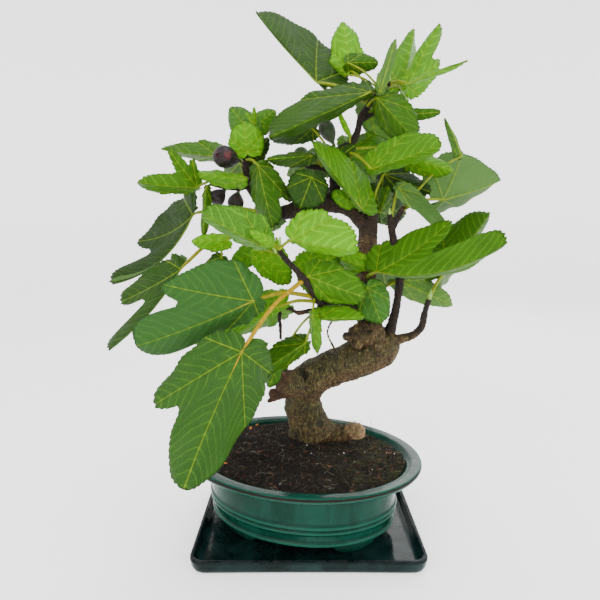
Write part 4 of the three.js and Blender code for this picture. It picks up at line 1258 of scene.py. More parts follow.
# ------------------------------------------------------------------ leaves
# Half outlines of a blade: angle from the midrib in degrees, and reach, for a blade one long.
OUTLINES = {
    "plain": [(0, 1), (5, .985), (12, .93), (25, .76), (40, .62), (60, .48), (85, .37), (115, .26),
              (150, .15), (180, .05)],
    "round": [(0, 1), (15, .93), (32, .80), (50, .66), (72, .53), (95, .44), (120, .33), (150, .20),
              (180, .06)],
    "wedge": [(0, 1), (10, .95), (20, .83), (31, .65), (44, .50), (62, .36), (88, .24), (118, .16),
              (150, .10), (180, .04)],
    "lobed": [(0, 1), (6, .985), (12, .92), (19, .79), (25, .63), (29, .60), (33, .68), (38, .75),
              (44, .73), (57, .56), (76, .41), (98, .29), (128, .19), (158, .11), (180, .05)],
    "low": [(0, 1), (5, 1), (9, .98), (13, .90), (16, .77), (19, .62), (22, .60), (26, .69), (31, .74),
            (37, .70), (50, .57), (72, .41), (98, .28), (130, .17), (160, .10), (180, .05)],
    "deep": [(0, 1), (5, 1), (9, .97), (13, .86), (17, .66), (21, .49), (25, .50), (30, .68), (36, .76),
             (43, .73), (54, .57), (72, .38), (96, .26), (128, .17), (158, .10), (180, .05)],
    "spread": [(0, 1), (6, .92), (13, .74), (22, .52), (31, .45), (38, .58), (45, .74), (51, .74),
               (60, .54), (69, .39), (78, .44), (84, .44), (98, .30), (130, .18), (180, .05)],
    "club": [(0, 1), (4, 1), (8, .97), (13, .86), (18, .68), (24, .50), (34, .35), (50, .25), (80, .18),
             (120, .13), (180, .05)],
    "slim": [(0, 1), (3, .98), (7, .89), (15, .63), (25, .44), (42, .30), (70, .20), (110, .13), (150, .08),
             (180, .04)],
}
VEINS = {  # angles of the two main veins beside the midrib
    "plain": (36, 80), "round": (42, 86), "wedge": (31, 66), "lobed": (39, 88), "low": (32, 84),
    "deep": (37, 88), "spread": (48, 82), "slim": (34, 84), "club": (34, 84),
}
# Each leaf: its name; where its stalk leaves the twig, where the blade begins and where it ends; the
# left and right halves as (outline, turn back from the front in degrees, breadth); how much the
# midrib arches and sweeps sideways, as shares of the blade's length; its tone from deep green to
# lime; and, where they are given, its bluish frost and whether its underside faces the front.
Leaf = namedtuple("Leaf", "name foot base tip left right droop sweep tone frost under",
                  defaults=(0, False))
LEAVES = [
    ("front_big", (1, -50, 302), (-56, -112, 242), (-106, -146, 125),
     ("plain", 45), ("lobed", 28), 0.04, 0.02, 0.29, 0.4),
    ("front_left_blue", (11, -37, 284), (-48, -76, 285), (-168, -72, 238),
     ("club", 42), ("low", 14), 0.05, 0, 0.26, 0.85),
    ("under_left", (17, -34, 278), (-25, -42, 274), (-121, -36, 235),
     ("plain", 58), ("plain", 62), 0.05, 0, 0.88, 0.15),
    ("far_left_upper", (-44, 4, 374), (-125, 18, 372), (-230, 34, 289),
     ("slim", 112), ("low", 44), 0.05, -0.1, 0.02),
    ("far_left_lower", (-78, -4, 352), (-133, -16, 312), (-203, -52, 228),
     ("plain", 112), ("deep", 44), 0.05, -0.03, 0.16, 0.05),
    ("mid_left_top", (-26, -52, 337), (-38, -68, 339), (-93, -96, 371),
     ("plain", 68), ("plain", 28), 0.05, 0, 0.81, 0.5),
    ("lime_centre", (-23, -52, 335), (-9, -62, 345), (54, -92, 335),
     ("round", 22), ("plain", 72), 0.05, 0, 0.95),
    ("mid_left_low", (-18, -50, 325), (-43, -26, 333), (-13, -16, 295),
     ("plain", 20), ("plain", 20), 0.04, 0, 0.86),
    ("mid_right", (2, -48, 303), (7, -50, 307), (65, -66, 287),
     ("plain", 28), ("plain", 38), 0.06, 0, 0.57, 0.05),
    ("low_right_small", (34, -20, 269), (15, -45, 262), (65, -60, 266),
     ("plain", 55), ("plain", 72), 0.06, 0, 0.75, 0.1),
    ("low_folded", (14, -37, 283), (11, -64, 268), (16, -66, 227),
     ("plain", 60), ("plain", 75), 0.04, 0, 0.68),
    ("low_dark", (22, -29, 273), (4, -34, 233), (-45, -52, 204),
     ("plain", 52), ("plain", 56), 0.05, 0, 0.4),
    ("back_of_mid", (11, -40, 292), (2, -20, 309), (50, 10, 331),
     ("plain", 40), ("plain", 40), 0.04, 0, 0.74),
    ("by_trunk", (77, 14, 318), (80, 0, 310), (41, -6, 325),
     ("plain", 50), ("plain", 30), 0.04, 0, 0.78),
    ("right_big", (72, 12, 295), (83, -16, 309), (198, -84, 342),
     ("deep", 46), ("plain", 72, 0.5), 0.06, 0.08, 0.56, 0.03),
    ("grey_round", (75, 13, 278), (74, -12, 291), (89, -18, 251),
     ("round", 20), ("round", 25), 0.04, 0, 0.7, 0.9),
    ("right_low", (76, 13, 270), (113, 6, 297), (176, 8, 268),
     ("plain", 54), ("plain", 56), 0.08, 0, 0.87, 0.5, True),
    ("right_under", (144, -6, 277), (165, 10, 305), (231, 52, 377),
     ("plain", 50), ("plain", 60), 0.04, 0, 0.48, 0.05),
    ("right_grey", (113, -2, 377), (162, 18, 389), (241, 52, 414),
     ("round", 8, 1.05), ("round", 70), 0.04, 0, 0.36, 0.9, True),
    ("right_hanging", (101, 0, 370), (107, -2, 401), (165, 5, 350),
     ("slim", -48), ("slim", -50), 0.06, 0, 0.3, 0.8, True),
    ("right_dark", (79, 19, 374), (94, 20, 418), (147, 12, 397),
     ("plain", 45), ("plain", 55), 0.04, 0, 0),
    ("right_top", (47, 19, 443), (74, -22, 419), (135, -70, 437),
     ("plain", 38), ("plain", 66, 0.6), 0.05, 0, 0.68),
    ("right_top_lime", (51, 20, 445), (118, 4, 434), (166, -6, 419),
     ("plain", 50), ("plain", 52), 0.05, 0, 0.77),
    ("right_top_back", (49, 20, 447), (59, 40, 448), (141, 72, 462),
     ("plain", 52), ("plain", 50), 0.04, 0, 0.69),
    ("top_mid", (73, 23, 491), (82, 2, 497), (115, -36, 449),
     ("plain", 24), ("plain", 66), 0.05, 0, 0.43),
    ("top_right_a", (94, 18, 511), (114, 38, 517), (135, 72, 593),
     ("plain", 55), ("plain", 60), 0.04, 0, 0.76),
    ("top_right_b", (99, 15, 517), (116, 8, 511), (150, 12, 578),
     ("slim", 58), ("low", 42), 0.04, 0, 0.82),
    ("top_right_c", (98, 16, 515), (112, -12, 508), (171, -26, 527),
     ("slim", 70), ("slim", 78), 0.06, 0, 0.86),
    ("top_edge_on", (92, 19, 510), (85, 0, 503), (100, -4, 556),
     ("slim", 50), ("slim", 55), 0.03, 0, 0.55, 0.2, True),
    ("top_left_big", (76, 23, 495), (17, 24, 519), (-56, 74, 613),
     ("plain", 108), ("plain", 38, 1.15), 0.04, 0, 0.17),
    ("top_lime", (83, 22, 503), (56, 44, 538), (49, 66, 599),
     ("wedge", 30), ("wedge", 30), 0.04, 0, 0.97),
    ("top_front_big", (87, 21, 506), (73, -6, 501), (-34, -36, 449),
     ("wedge", 80, 0.6), ("wedge", 46), 0.07, 0, 0.26),
    ("left_lime_round", (-64, 14, 443), (-60, 4, 440), (-63, 2, 473),
     ("round", 10, 1.2), ("round", 10, 1.2), 0.04, 0, 0.86),
    ("left_back_a", (-65, 15, 447), (-60, 36, 467), (-85, 58, 500),
     ("plain", 20), ("plain", 20), 0.04, 0, 0.56, 0.45),
    ("left_back_b", (-63, 14, 441), (-55, 66, 479), (-33, 84, 503),
     ("plain", 20), ("plain", 20), 0.04, 0, 0.69, 0.2),
    ("left_point", (-63, 13, 426), (-95, 30, 439), (-167, 46, 449),
     ("plain", 82), ("plain", 52), 0.04, 0, 0.5),
    ("left_lobed", (-62, 12, 417), (-115, -6, 401), (-167, -48, 403),
     ("plain", 74), ("spread", 4), 0.04, 0, 0.58),
    ("left_lime", (-60, 12, 411), (-63, -20, 407), (-109, -30, 414),
     ("plain", 58), ("plain", 66), 0.05, 0, 0.85),
    ("left_dark_small", (-64, 14, 437), (-59, 18, 432), (-37, 18, 458),
     ("plain", 40), ("plain", 40), 0.04, 0, 0),
    ("left_hanging", (-63, 13, 433), (-47, -12, 424), (-30, -34, 358),
     ("lobed", 44), ("plain", 56), 0.06, 0, 0.4, 0.1),
    ("left_narrow", (-100, 9, 405), (-105, -4, 401), (-108, -12, 348),
     ("slim", 55), ("slim", 60), 0.04, 0, 0.42),
    ("left_low_small", (-69, -1, 358), (-80, -24, 344), (-118, -28, 343),
     ("plain", 35), ("plain", 60), 0.04, 0, 1),
    ("left_low_hanging", (-91, -7, 346), (-88, -14, 325), (-110, -18, 302),
     ("plain", 30), ("plain", 40), 0.04, 0, 0.17, 0.2),
    ("centre_dark", (38, 18, 431), (12, 14, 467), (-37, 26, 459),
     ("plain", 55), ("plain", 60), 0.04, 0, 0.22, 0.25),
    ("centre_round", (19, 10, 384), (11, -14, 411), (-2, -22, 377),
     ("round", 10, 1.2), ("round", 10, 1.2), 0.04, 0, 0.15, 0.15),
    ("centre_fold", (24, 14, 424), (11, -12, 434), (-37, -18, 429),
     ("plain", 62), ("plain", 66), 0.04, 0, 0.36, 0.05),
    ("centre_big", (72, 19, 373), (66, -14, 377), (10, -28, 446),
     ("slim", 82), ("round", 50), 0.05, 0, 0.66),
    ("centre_low", (56, 18, 377), (58, 3, 385), (33, -1, 396),
     ("plain", 20), ("plain", 20), 0.04, 0, 0.8, 0.3),
]
SMALL_LEAVES = [
    ("under_mid_right", (18, -34, 282), (28, -40, 283), (54, -40, 299),
     ("plain", 50), ("plain", 50), 0.04, 0, 0.4),
    ("top_mid_pale", (72, 23, 487), (78, 30, 491), (114, 34, 461),
     ("plain", 60), ("plain", 28), 0.04, 0, 1, 0.6, True),
    ("top_dark_small", (90, 20, 509), (53, 38, 544), (89, 42, 546),
     ("plain", 30), ("plain", 40), 0.04, 0, 0.42),
    ("thin_lime", (55, 20, 448), (54, 10, 460), (39, 4, 487),
     ("slim", 50), ("slim", 60), 0.03, 0, 1.08),
    ("top_curled", (88, 20, 486), (105, 14, 481), (153, 6, 483),
     ("slim", 30), ("slim", 50), 0.12, 0, 0.48),
    ("right_sliver", (113, -2, 379), (180, 14, 437), (161, 18, 480),
     ("slim", 55), ("slim", 60), 0.05, 0, 0.99, 1, True),
    ("left_low_back", (-56, 1, 364), (-45, 12, 334), (-81, 14, 316),
     ("plain", 20), ("plain", 30), 0.04, 0, 0.96, 0.4),
    ("centre_small", (41, 19, 439), (40, 8, 434), (60, 4, 448),
     ("plain", 30), ("plain", 40), 0.04, 0, 0.14),
    ("centre_back", (79, 19, 375), (92, 28, 375), (106, 32, 418),
     ("plain", 50), ("plain", 50), 0.04, 0, 0.46),
    ("shoot_lime", (-23, -52, 335), (-27, -62, 340), (-49, -93, 354),
     ("slim", 30), ("slim", 50), 0.06, 0, 0.95),
    ("shoot_tip", (-23, -52, 335), (-24, -54, 335), (-26, -56, 348),
     ("slim", 40), ("slim", 40), 0.03, 0, 0.9),
    ("back_shoot_a", (-60, 34, 471), (-53, 30, 476), (-54, 26, 493),
     ("slim", 30), ("slim", 40), 0.04, 0, 0.8),
    ("back_shoot_b", (-60, 34, 471), (-56, 30, 477), (-65, 30, 489),
     ("slim", 40), ("slim", 30), 0.04, 0, 0.85),
    ("low_behind", (22, -26, 272), (-20, -18, 221), (-37, -22, 179),
     ("plain", 45), ("plain", 45), 0.04, 0, 0.5, 0.4),
    ("top_strip", (90, 20, 509), (51, 36, 531), (31, 34, 546),
     ("slim", 40), ("slim", 55), 0.03, 0, 0.7),
    ("back_high", (82, 22, 502), (84, 50, 507), (96, 98, 474),
     ("plain", 34), ("plain", 38), 0.05, 0, 0.4, 0.2, True),
    ("back_right_high", (58, 22, 453), (66, 52, 447), (104, 104, 404),
     ("plain", 30), ("plain", 40), 0.05, 0, 0.3, 0.2, True),
    ("back_centre_high", (38, 18, 425), (20, 44, 434), (-20, 94, 424),
     ("plain", 40), ("plain", 36), 0.05, 0, 0.2, 0.2, True),
    ("back_centre", (16, 11, 383), (14, 38, 390), (0, 90, 398),
     ("round", 30), ("round", 34), 0.05, 0, 0.2, 0.1),
    ("back_right", (79, 19, 374), (94, 44, 384), (150, 94, 410),
     ("low", 34), ("low", 30), 0.05, 0, 0.2, 0.1),
    ("back_left", (-63, 13, 428), (-72, 44, 434), (-100, 96, 416),
     ("plain", 38), ("plain", 30), 0.05, 0, 0.3, 0.2, True),
    ("back_left_low", (-22, 4, 374), (-38, 32, 376), (-68, 84, 352),
     ("plain", 36), ("plain", 44), 0.05, 0, 0.25, 0.3, True),
    ("back_right_low", (76, 14, 306), (96, 42, 312), (148, 86, 292),
     ("plain", 42), ("plain", 36), 0.05, 0, 0.2, 0.2, True),
    ("back_mid", (75, 14, 306), (48, 38, 308), (8, 84, 292),
     ("plain", 40), ("plain", 36), 0.05, 0, 0.25, 0.2, True),
]
GOLDEN_STALKS = {"front_big": 1.0, "front_left_blue": 0.6, "far_left_lower": 0.45, "under_left": 0.3}
PLAIN_STALK = 0.12  # how golden every other stalk is
LIME = 0.6  # leaves paler than this tone are the lime ones
CREASE = 0.02  # roundness of the fold along the midrib, as a share of the blade
HALF_CURL = 0.12  # how much each half of a blade curls back towards its margin


def reach_at(outline, degrees):
    """The outline's reach at any angle, on a curve that never overshoots its knots."""
    knots = np.array(OUTLINES[outline], float)
    gaps = np.diff(knots[:, 0])
    slopes = np.diff(knots[:, 1]) / gaps
    level = slopes[:-1] * slopes[1:] <= 0
    weights = 2 * gaps[1:] + gaps[:-1], gaps[1:] + 2 * gaps[:-1]
    with np.errstate(divide="ignore", invalid="ignore"):
        inner = (weights[0] + weights[1]) / (weights[0] / slopes[:-1] + weights[1] / slopes[1:])
    lean = np.concatenate([[slopes[0]], np.where(level, 0, inner), [slopes[-1]]])
    at = np.clip(degrees, 0, 180)
    span = np.clip(np.searchsorted(knots[:, 0], at, side="right") - 1, 0, len(gaps) - 1)
    share = (at - knots[span, 0]) / gaps[span]
    return ((2 * share ** 3 - 3 * share ** 2 + 1) * knots[span, 1]
            + (share ** 3 - 2 * share ** 2 + share) * gaps[span] * lean[span]
            + (3 * share ** 2 - 2 * share ** 3) * knots[span + 1, 1]
            + (share ** 3 - share ** 2) * gaps[span] * lean[span + 1])


def half_margin(outline, breadth, length, tooth, depth, draw):
    """Spokes of one half from the tip to the stalk, with a spoke along every main vein.

    Gives their flat x and y, angle to the nearest vein, reach, and share of the way to the line where
    the side veins of two main ones meet. The margin's teeth point forwards.
    """
    first, second = VEINS[outline]
    bounds = [0, first / 2, first, (first + second) / 2, second, 180]
    rows = []
    for low, high in zip(bounds[:-1], bounds[1:]):
        fine = np.linspace(low, high, 60)
        reach = reach_at(outline, fine)
        turn = np.radians(fine)
        line = np.stack([reach * np.cos(turn), reach * np.sin(turn) * breadth], 1) * length
        run = np.concatenate([[0], np.cumsum(np.linalg.norm(np.diff(line, axis=0), axis=1))])
        teeth = max(1, round(run[-1] / tooth))
        at = np.linspace(0, run[-1], teeth * 4 + 1)
        uneven = draw.uniform(0.55, 1.25, teeth + 1)
        for index, angle in enumerate(np.interp(at, run, fine)[:-1]):
            cut = (1.0, 0.16, -0.12, 0.22)[index % 4] * uneven[index // 4]
            cut *= depth * np.clip((150 - angle) / 30, 0, 1) * min(1, angle / 3)
            nearest = min((0, first, second), key=lambda vein: abs(vein - angle))
            between = abs(angle - nearest) / max(high - low, 1)
            rows.append((angle, cut, math.radians(abs(angle - nearest)), between))
    rows.append((180, 0, math.radians(180 - second), 0.6))
    angle, cut, beside, between = np.array(rows, float).T
    turn = np.radians(angle)
    swell = 0.040 * np.sin(turn * 5 + draw.uniform(0, 6.3))
    swell += 0.028 * np.sin(turn * 11 + draw.uniform(0, 6.3))
    reach = reach_at(outline, angle) * (1 + np.sin(turn) * swell) - cut / length
    return [reach * np.cos(turn), reach * np.sin(turn), beside, reach, between]


class Blade:
    """The bent surface of one leaf, in millimetres."""

    def __init__(self, base, tip, left, right, droop, sweep):
        self.base, tip = np.array(base, float), np.array(tip, float)
        self.length = np.linalg.norm(tip - self.base)
        self.midrib = (tip - self.base) / self.length
        front = np.array([0.0, -1.0, 0.0])
        self.normal = front - self.midrib * (front @ self.midrib)
        self.normal /= np.linalg.norm(self.normal)
        self.side = np.cross(self.midrib, self.normal)
        self.turns = math.radians(left[1]), math.radians(right[1])
        self.breadths = (left[2] if len(left) > 2 else 1), (right[2] if len(right) > 2 else 1)
        lean = (self.turns[1] - self.turns[0]) / 2
        self.arch = self.normal * math.cos(lean) + self.side * math.sin(lean)
        self.droop, self.sweep = droop, sweep

    def at(self, along, across):
        """Points of the blade; across is above 0 on the right half, and both are in lengths."""
        length = self.length
        right = across > 0
        reach = across * np.where(right, self.breadths[1], self.breadths[0]) * length
        turn = np.where(right, self.turns[1], self.turns[0])
        back = np.hypot(reach, CREASE * length) - CREASE * length
        bow = 4 * length * along * (1 - along)
        arch = self.droop * bow - HALF_CURL * reach * reach / length
        return (self.base + np.multiply.outer(along * length, self.midrib)
                + np.multiply.outer(arch, self.arch)
                + np.multiply.outer(reach * np.cos(turn) + self.sweep * bow, self.side)
                - np.multiply.outer(back * np.sin(turn), self.normal))


def blade_skin(levels, spokes, hubs):
    """Faces of the front and the back, which share the margin, and 0 for each front and 1 for each back."""
    front = np.arange(levels * spokes).reshape(levels, spokes)
    back = np.arange((levels - 1) * spokes).reshape(levels - 1, spokes) + levels * spokes
    faces, kinds = [], []
    for kind, rows in enumerate((front, np.vstack([back, front[-1]]))):
        for inner, outer in zip(rows[:-1], rows[1:]):
            faces += list(zip(inner, np.roll(inner, -1), np.roll(outer, -1), outer))
        faces += [(hubs[kind], after, here) for here, after in zip(rows[0], np.roll(rows[0], -1))]
        kinds += [kind] * (levels * spokes)
    return faces, kinds


def leaf_stalk(blade, foot, behind, thick):
    """A leaf's stalk, which runs on behind the midrib as a ridge that dies out."""
    size = 0.85 + blade.length / 88
    share = np.array([0.0, 0.12, 0.3, 0.5, 0.72])
    rib = blade.at(share, np.zeros(5))
    rib = rib + behind * ((thick + 0.25 * size) * (1 - 0.6 * share))[:, None]
    way = blade.base - foot
    lift = np.array([0, 0, np.linalg.norm(way)])
    knots = [(*(foot + way * ahead + lift * arch), size * thin) for ahead, arch, thin in (
        (0, 0, 1.25), (0.12, 0.03, 1.02), (0.5, 0.09, 0.92), (0.85, 0.04, 0.86))]
    knots += [(*spot, size * thin) for spot, thin in zip(rib, (0.50, 0.33, 0.22, 0.14, 0.07))]
    line = smooth_way(knots, max(1.6, blade.length / 45))
    return tube(line[:, :3], np.maximum(line[:, 3], 0.12), 10)


def leaf_mesh(leaf, seed, settings):
    """A toothed blade of real thickness with sunken veins, and its stalk with the raised midrib."""
    blade = Blade(leaf.base, leaf.tip, leaf.left, leaf.right, leaf.droop, leaf.sweep)
    length, foot, under = blade.length, np.array(leaf.foot, float), leaf.under
    draw = np.random.RandomState(seed)
    small = min(1.0, length / 60)
    tooth = settings.tooth / MM * (0.6 + 0.4 * small)
    depth = settings.tooth_depth / MM * small * (1 - 0.45 * leaf.frost)
    halves = [half_margin(side[0], breadth, length, tooth, depth, draw)
              for side, breadth in ((leaf.right, blade.breadths[1]), (leaf.left, blade.breadths[0]))]
    halves[1][1] *= -1
    x, y, beside, reach, between = (
        np.concatenate([one, other[::-1][1:-1]]) for one, other in zip(*halves))
    reach = reach * length
    spokes = len(x)
    levels = int(np.clip(round(length / 5), 6, 24))
    share = (np.arange(1, levels + 1) / levels) ** 0.9
    flat_x, flat_y = np.outer(share, x), np.outer(share, y)
    spots = blade.at(flat_x, flat_y)
    step_in, step_round = np.gradient(spots, axis=0), np.roll(spots, -1, 1) - np.roll(spots, 1, 1)
    facing = np.cross(step_round, step_in)
    facing /= np.linalg.norm(facing, axis=2, keepdims=True) + 1e-12
    if (facing.mean((0, 1)) @ blade.arch) < 0:
        facing = -facing

    # the blade swells between its side veins, sinks along the main ones and waves at the margin
    along = np.outer(share, reach * np.cos(beside))
    across = np.outer(share, reach * np.sin(beside))
    gap = settings.vein_gap / MM * math.sqrt(min(length, 70) / 70)
    rung = (along - VEIN_LEAN * across) / gap
    quilt = np.sin(math.pi * np.mod(rung, 1)) * np.clip(across / 7, 0, 1) * (1 - share[:, None] ** 4)
    rise = 0.55 * quilt - 0.55 * np.exp(-(across / 1.6) ** 2)
    turn = np.arctan2(flat_y, flat_x)
    wave = sum(draw.uniform(0.4, 1) * np.sin(turn * pace + draw.uniform(0, 6.3)) for pace in (3, 5, 8))
    rise = (rise * (1 if not under else -1)) * small + wave * 0.013 * length * share[:, None] ** 2.5
    rise += 0.010 * length * np.sin(turn * 17 + draw.uniform(0, 6.3)) * share[:, None] ** 5
    middle = spots + facing * rise[..., None]

    # the front and the back, with the midrib's ridge on the leaf's underside
    thick = settings.thickness / MM / 2
    ridge = (0.5 * small * np.exp(-(across / 1.1) ** 2) * (1 - 0.8 * share[:, None]))[:-1, :, None]
    front = middle[:-1] + facing[:-1] * (thick + (ridge if under else 0))
    back = middle[:-1] - facing[:-1] * (thick + (0 if under else ridge))
    pole = facing[0].mean(0)
    pole /= np.linalg.norm(pole)
    centre = blade.at(np.zeros(1), np.zeros(1))[0]
    points = np.vstack([front.reshape(-1, 3), middle[-1], back.reshape(-1, 3),
                        centre + pole * thick, centre - pole * thick])
    faces, kinds = blade_skin(levels, spokes, (len(points) - 2, len(points) - 1))
    stalk, stalk_faces = leaf_stalk(blade, foot, pole if under else -pole, thick)
    faces += [tuple(index + len(points) for index in face) for face in stalk_faces]
    kinds += [2] * len(stalk_faces)
    mesh = new_mesh("foliage_" + leaf.name, np.vstack([points, stalk]), faces)
    outward(mesh)
    mesh.polygons.foreach_set("material_index", np.array(kinds, np.int32))

    def everywhere(values):
        """Spreads the blade's values over its front and back, with 0 for the hubs and the stalk."""
        return np.concatenate([values.ravel(), values[:-1].ravel(), np.zeros(len(stalk) + 2)])

    finer = 0.01 * math.sqrt(70 / min(length, 70))  # small leaves have closer veins
    corner = np.empty(len(mesh.loops), np.int32)
    mesh.loops.foreach_get("vertex_index", corner)
    veins = np.stack([everywhere(along), everywhere(across)], 1)[corner] * finer
    mesh.uv_layers.new(name="veins").data.foreach_set("uv", veins.astype(np.float32).ravel())
    mark(mesh, "between", everywhere(np.tile(between, (levels, 1))))
    mark(mesh, "tone", leaf.tone)
    mark(mesh, "frost", leaf.frost)
    fading = np.clip(1.25 - distance(stalk, blade.base) / (0.35 * length), 0, 1)
    below_blade = distance(stalk, foot) < np.linalg.norm(blade.base - foot)
    gold = GOLDEN_STALKS.get(leaf.name, PLAIN_STALK) * np.where(below_blade, 1, fading)
    mark(mesh, "gold", np.concatenate([np.zeros(len(points)), gold]))
    return mesh


class BONSAI_OT_leaves(Operator):
    """Grows every leaf: a toothed, veined blade on its stalk"""
    bl_idname = "bonsai.leaves"
    bl_label = "Leaves"

    def execute(self, context):
        settings = context.scene.bonsai_leaves
        upper = leaf_finish("leaf_upper_side", settings, True)
        lower = leaf_finish("leaf_underside", settings, False)
        stalk = stalk_finish(settings)
        slots = {m["slot"]: m for m in frame["record"]["materials"]}
        for seed, row in enumerate(LEAVES + SMALL_LEAVES):
            leaf = Leaf(*row)
            skins = [lower, upper, stalk] if leaf.under else [upper, lower, stalk]
            slot = "leaf_underside" if leaf.under else "leaf_lime" if leaf.tone > LIME else "leaf_green"
            if slot not in slots:
                raise RuntimeError(f"the record has no slot {slot}")
            node = f"leaf_{leaf.name}"
            nodes = [node] if node in frame["nodes"] else []
            add_piece("foliage_" + leaf.name, leaf_mesh(leaf, seed, settings), skins, nodes)
        return {"FINISHED"}


# ------------------------------------------------------------------ figs and buds
FIGS = [  # name, where it joins the twig, its eye end, its radius and how ripe it is
    ("purple_left", (-68, 10, 431), (-89, -26, 433), 12, 1.0),
    ("left_low", (-84, 11, 402), (-101, 6, 385), 9.5, 1.0),
    ("left_back", (-71, 13, 401), (-78, 22, 379), 9.5, 0.9),
    ("centre_top", (38, 21, 448), (25, 36, 480), 9.5, 0.35),
    ("centre_green", (8, 11, 426), (-4, 30, 446), 9, 0.0),
]
BUDS = [  # place, tip, radius
    ((-24, -51, 334), (-22, -52, 349), 2.6), ((-26, -50, 331), (-31, -55, 343), 1.8),
    ((144, -6, 275), (147, -5, 289), 2.6), ((99, 0, 371), (98, -1, 379), 2.2),
    ((97, 16, 513), (97, 17, 527), 2.4), ((-65, 15, 446), (-66, 16, 458), 2.2),
    ((-90, -7, 345), (-97, -9, 341), 2.0), ((-8, 8, 430), (-15, 7, 435), 2.2),
    ((91, 20, 509), (87, 18, 520), 2.0),
]


def turned_body(profile, foot, end, sides):
    """A body of revolution between two places; the profile is (radius, share of the way)."""
    foot, end = np.array(foot, float), np.array(end, float)
    ahead = (end - foot) / np.linalg.norm(end - foot)
    across = np.cross(ahead, (0.2, 0.3, 1.0))
    across /= np.linalg.norm(across)
    up = np.cross(ahead, across)
    angle = np.arange(sides) / sides * 2 * math.pi
    spin = np.outer(np.cos(angle), across) + np.outer(np.sin(angle), up)
    rings = [foot + (end - foot) * share + spin * radius for radius, share in profile[1:-1]]
    poles = [foot + (end - foot) * profile[i][1] for i in (0, -1)]
    return np.vstack(rings + [np.array(poles)]), skin((len(rings), sides)), spin


class BONSAI_OT_figs(Operator):
    """Makes the young figs with their ribs and eyes, and the pointed buds"""
    bl_idname = "bonsai.figs"
    bl_label = "Figs and buds"

    def execute(self, context):
        settings = context.scene.bonsai_figs
        finish = fig_finish(settings)
        outline = rounded([
            (0, 0), (0.17, 0.0), (0.19, 0.10), (0.21, 0.17), (0.36, 0.24), (0.62, 0.35), (0.88, 0.50),
            (1.0, 0.66), (0.94, 0.82), (0.70, 0.93), (0.40, 0.975), (0.24, 0.985), (0.20, 1.0),
            (0.12, 1.0), (0.09, 0.975), (0, 0.97)], 2)
        sides = 72
        for name, foot, eye, radius, ripe in FIGS:
            profile = [(r * radius, share) for r, share in outline]
            points, faces, spin = turned_body(profile, foot, eye, sides)
            share = np.repeat([p[1] for p in profile[1:-1]], sides)
            size = np.repeat([p[0] for p in profile[1:-1]], sides)
            angle = np.tile(np.arange(sides) / sides, len(profile) - 2)
            ribs = np.cos(angle * 2 * math.pi * FIG_RIBS) * np.sin(np.clip(share, 0, 1) * math.pi)
            spin = np.tile(spin, (len(profile) - 2, 1))
            points[:-2] += spin * (ribs * 0.016 * size)[:, None]
            lumps = np.array([noise.noise(Vector(point / 7)) for point in points[:-2]])
            points[:-2] += spin * (lumps * 0.05 * size)[:, None]
            mesh = new_mesh("fruit_" + name, points, faces)
            outward(mesh)
            mark(mesh, "ripe", ripe)
            layer = mesh.attributes.new("ribs", "FLOAT_VECTOR", "POINT")
            values = np.zeros((len(points), 3), np.float32)
            values[:-2, 0], values[:-2, 1] = np.abs(angle - 0.5) * 2, share
            values[-1, 1] = 1
            layer.data.foreach_set("vector", values.ravel())
            add_piece("fruit_" + name, mesh, [finish], [f"fig_{name}"])
        self.add_buds()
        return {"FINISHED"}

    def add_buds(self):
        """Pointed buds of overlapping scales at the ends of the twigs."""
        profile = rounded([
            (0, 0), (0.8, 0.02), (1.0, 0.22), (0.86, 0.5), (0.5, 0.8), (0.14, 0.97), (0, 1)], 2)
        buds = Joined()
        for place, tip, radius in BUDS:
            for lean, small in ((0, 1.0), (0.35, 0.72), (-0.35, 0.66)):
                away = np.array([lean * radius * 2.2, -abs(lean) * radius, 0])
                share = 0.62 if lean else 1  # a side scale is shorter than the middle one
                end = np.array(tip) * share + np.array(place) * (1 - share) + away
                scale = [(r * radius * small, share) for r, share in profile]
                buds.add(*turned_body(scale, place, end, 20)[:2])
        finish = Finish("bud_green", 0.5)
        streak = finish.noise(0.002, 3, 0.5, finish.stretched(finish.place, (1, 1, 0.3)))
        finish.bump(streak, 0.0004, 0.5)
        add_piece("twig_buds", buds.mesh("twig_buds"), [finish.colour(finish.ramp(
            streak, [(0.35, (0.10, 0.22, 0.02)), (0.65, (0.26, 0.46, 0.04))]))])


# ------------------------------------------------------------------ stage
CAMERA_PLACE = (-0.0017, -0.576, 0.3559)
CAMERA_TILT = math.radians(90 - 7.96)
CAMERA_LENS = 30.5  # millimetres, on a sensor 36 wide
AIM = Vector((0, 0, 0.28))  # where the lamps point
LAMPS = [  # name, place and width in metres, power in watts
    ("key", (-0.9, -1.5, 1.7), 1.3, 34), ("fill_right", (1.5, -1.2, 1.1), 1.1, 15),
    ("top", (0.1, 0.2, 1.9), 1.4, 24), ("rim", (0.7, 1.4, 1.2), 1.0, 14),
]
SKY = 0.55  # strength of the even sky beside the lamps


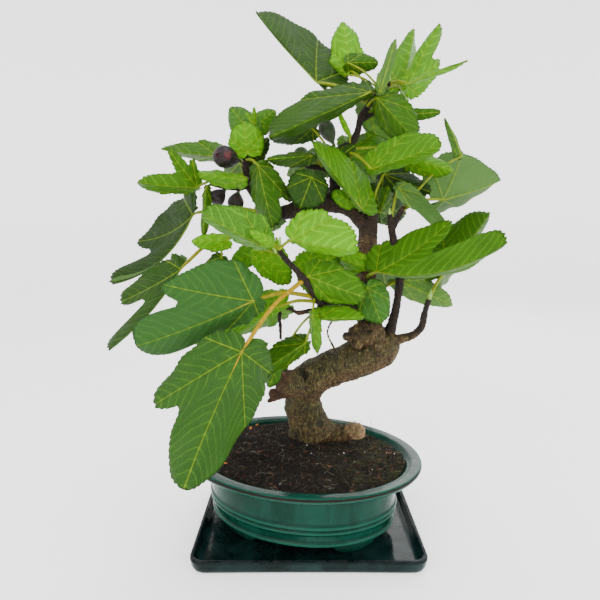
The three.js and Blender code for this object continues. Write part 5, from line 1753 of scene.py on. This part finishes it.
class BONSAI_OT_stage(Operator):
    """Sets the pale floor, the soft boxes, the even sky and the camera"""
    bl_idname = "bonsai.stage"
    bl_label = "Stage"

    def execute(self, context):
        settings = context.scene.bonsai_stage
        self.floor(settings)
        for name, place, width, power in LAMPS:
            self.softbox(name, place, width, power * settings.light)
        self.sky(SKY * settings.light)
        self.camera(context)
        return {"FINISHED"}

    def floor(self, settings):
        """A floor that curves up into a wall all round, far from the tree."""
        path = rounded([(0, 0), (1200, 0), (2200, 0), (2700, 60), (3050, 300), (3200, 800), (3240, 1800),
                        (3240, 3000)], 3)
        sides = 96
        angle = np.arange(sides) / sides * 2 * math.pi
        rings = [np.stack([radius * np.cos(angle), radius * np.sin(angle), np.full(sides, z)], 1)
                 for radius, z in path[1:]]
        points = np.vstack(rings + [np.array([(0, 0, 0.0)])])
        faces = skin((len(rings), sides), poles=False)
        faces += [(len(points) - 1, side, (side + 1) % sides) for side in range(sides)]
        mesh = new_mesh("studio_floor", points, faces)
        mesh.materials.append(floor_finish(settings))
        stage = bpy.data.objects.new("studio_floor", mesh)
        bpy.context.scene.collection.objects.link(stage)

    def softbox(self, name, place, width, power):
        lamp = bpy.data.lights.new(name, "AREA")
        lamp.shape, lamp.size, lamp.energy = "SQUARE", width, power
        box = bpy.data.objects.new(name, lamp)
        box.location = place
        box.rotation_euler = (AIM - Vector(place)).to_track_quat("-Z", "Y").to_euler()
        bpy.context.scene.collection.objects.link(box)

    def sky(self, strength):
        world = bpy.data.worlds.new("even_sky")
        world.use_nodes = True
        world.node_tree.nodes["Background"].inputs[0].default_value = (1, 1, 1, 1)
        world.node_tree.nodes["Background"].inputs[1].default_value = strength
        bpy.context.scene.world = world

    def camera(self, context):
        view = bpy.data.cameras.new("camera")
        view.lens, view.sensor_width, view.clip_start = CAMERA_LENS, 36, 0.01
        eye = bpy.data.objects.new("camera", view)
        eye.location, eye.rotation_euler = CAMERA_PLACE, (CAMERA_TILT, 0, 0)
        context.scene.collection.objects.link(eye)
        context.scene.camera = eye


# ------------------------------------------------------------------ panel and start
OPERATORS = (
    BONSAI_OT_stage, BONSAI_OT_saucer, BONSAI_OT_pot, BONSAI_OT_screens, BONSAI_OT_soil, BONSAI_OT_wood,
    BONSAI_OT_leaves, BONSAI_OT_figs,
)


class BONSAI_PT_parts(Panel):
    """Lists the tree's settings and the operators that make its pieces"""
    bl_label = "Bonsai fig tree"
    bl_space_type = "VIEW_3D"
    bl_region_type = "UI"
    bl_category = "Bonsai"

    def draw(self, context):
        for group in SETTINGS:
            box = self.layout.box()
            settings = getattr(context.scene, group)
            for name in type(settings).__annotations__:
                box.prop(settings, name)
        for operator in OPERATORS:
            self.layout.operator(operator.bl_idname)


def register():
    for group in SETTINGS.values():
        bpy.utils.register_class(group)
    for name, group in SETTINGS.items():
        setattr(bpy.types.Scene, name, PointerProperty(type=group))
    for part in OPERATORS + (BONSAI_PT_parts,):
        bpy.utils.register_class(part)


def unregister():
    for part in reversed(OPERATORS + (BONSAI_PT_parts,)):
        bpy.utils.unregister_class(part)
    for name, group in reversed(SETTINGS.items()):
        delattr(bpy.types.Scene, name)
        bpy.utils.unregister_class(group)


def main():
    register()
    for operator in OPERATORS:
        group, name = operator.bl_idname.split(".")
        getattr(getattr(bpy.ops, group), name)()


if __name__ == "__main__":
    main()
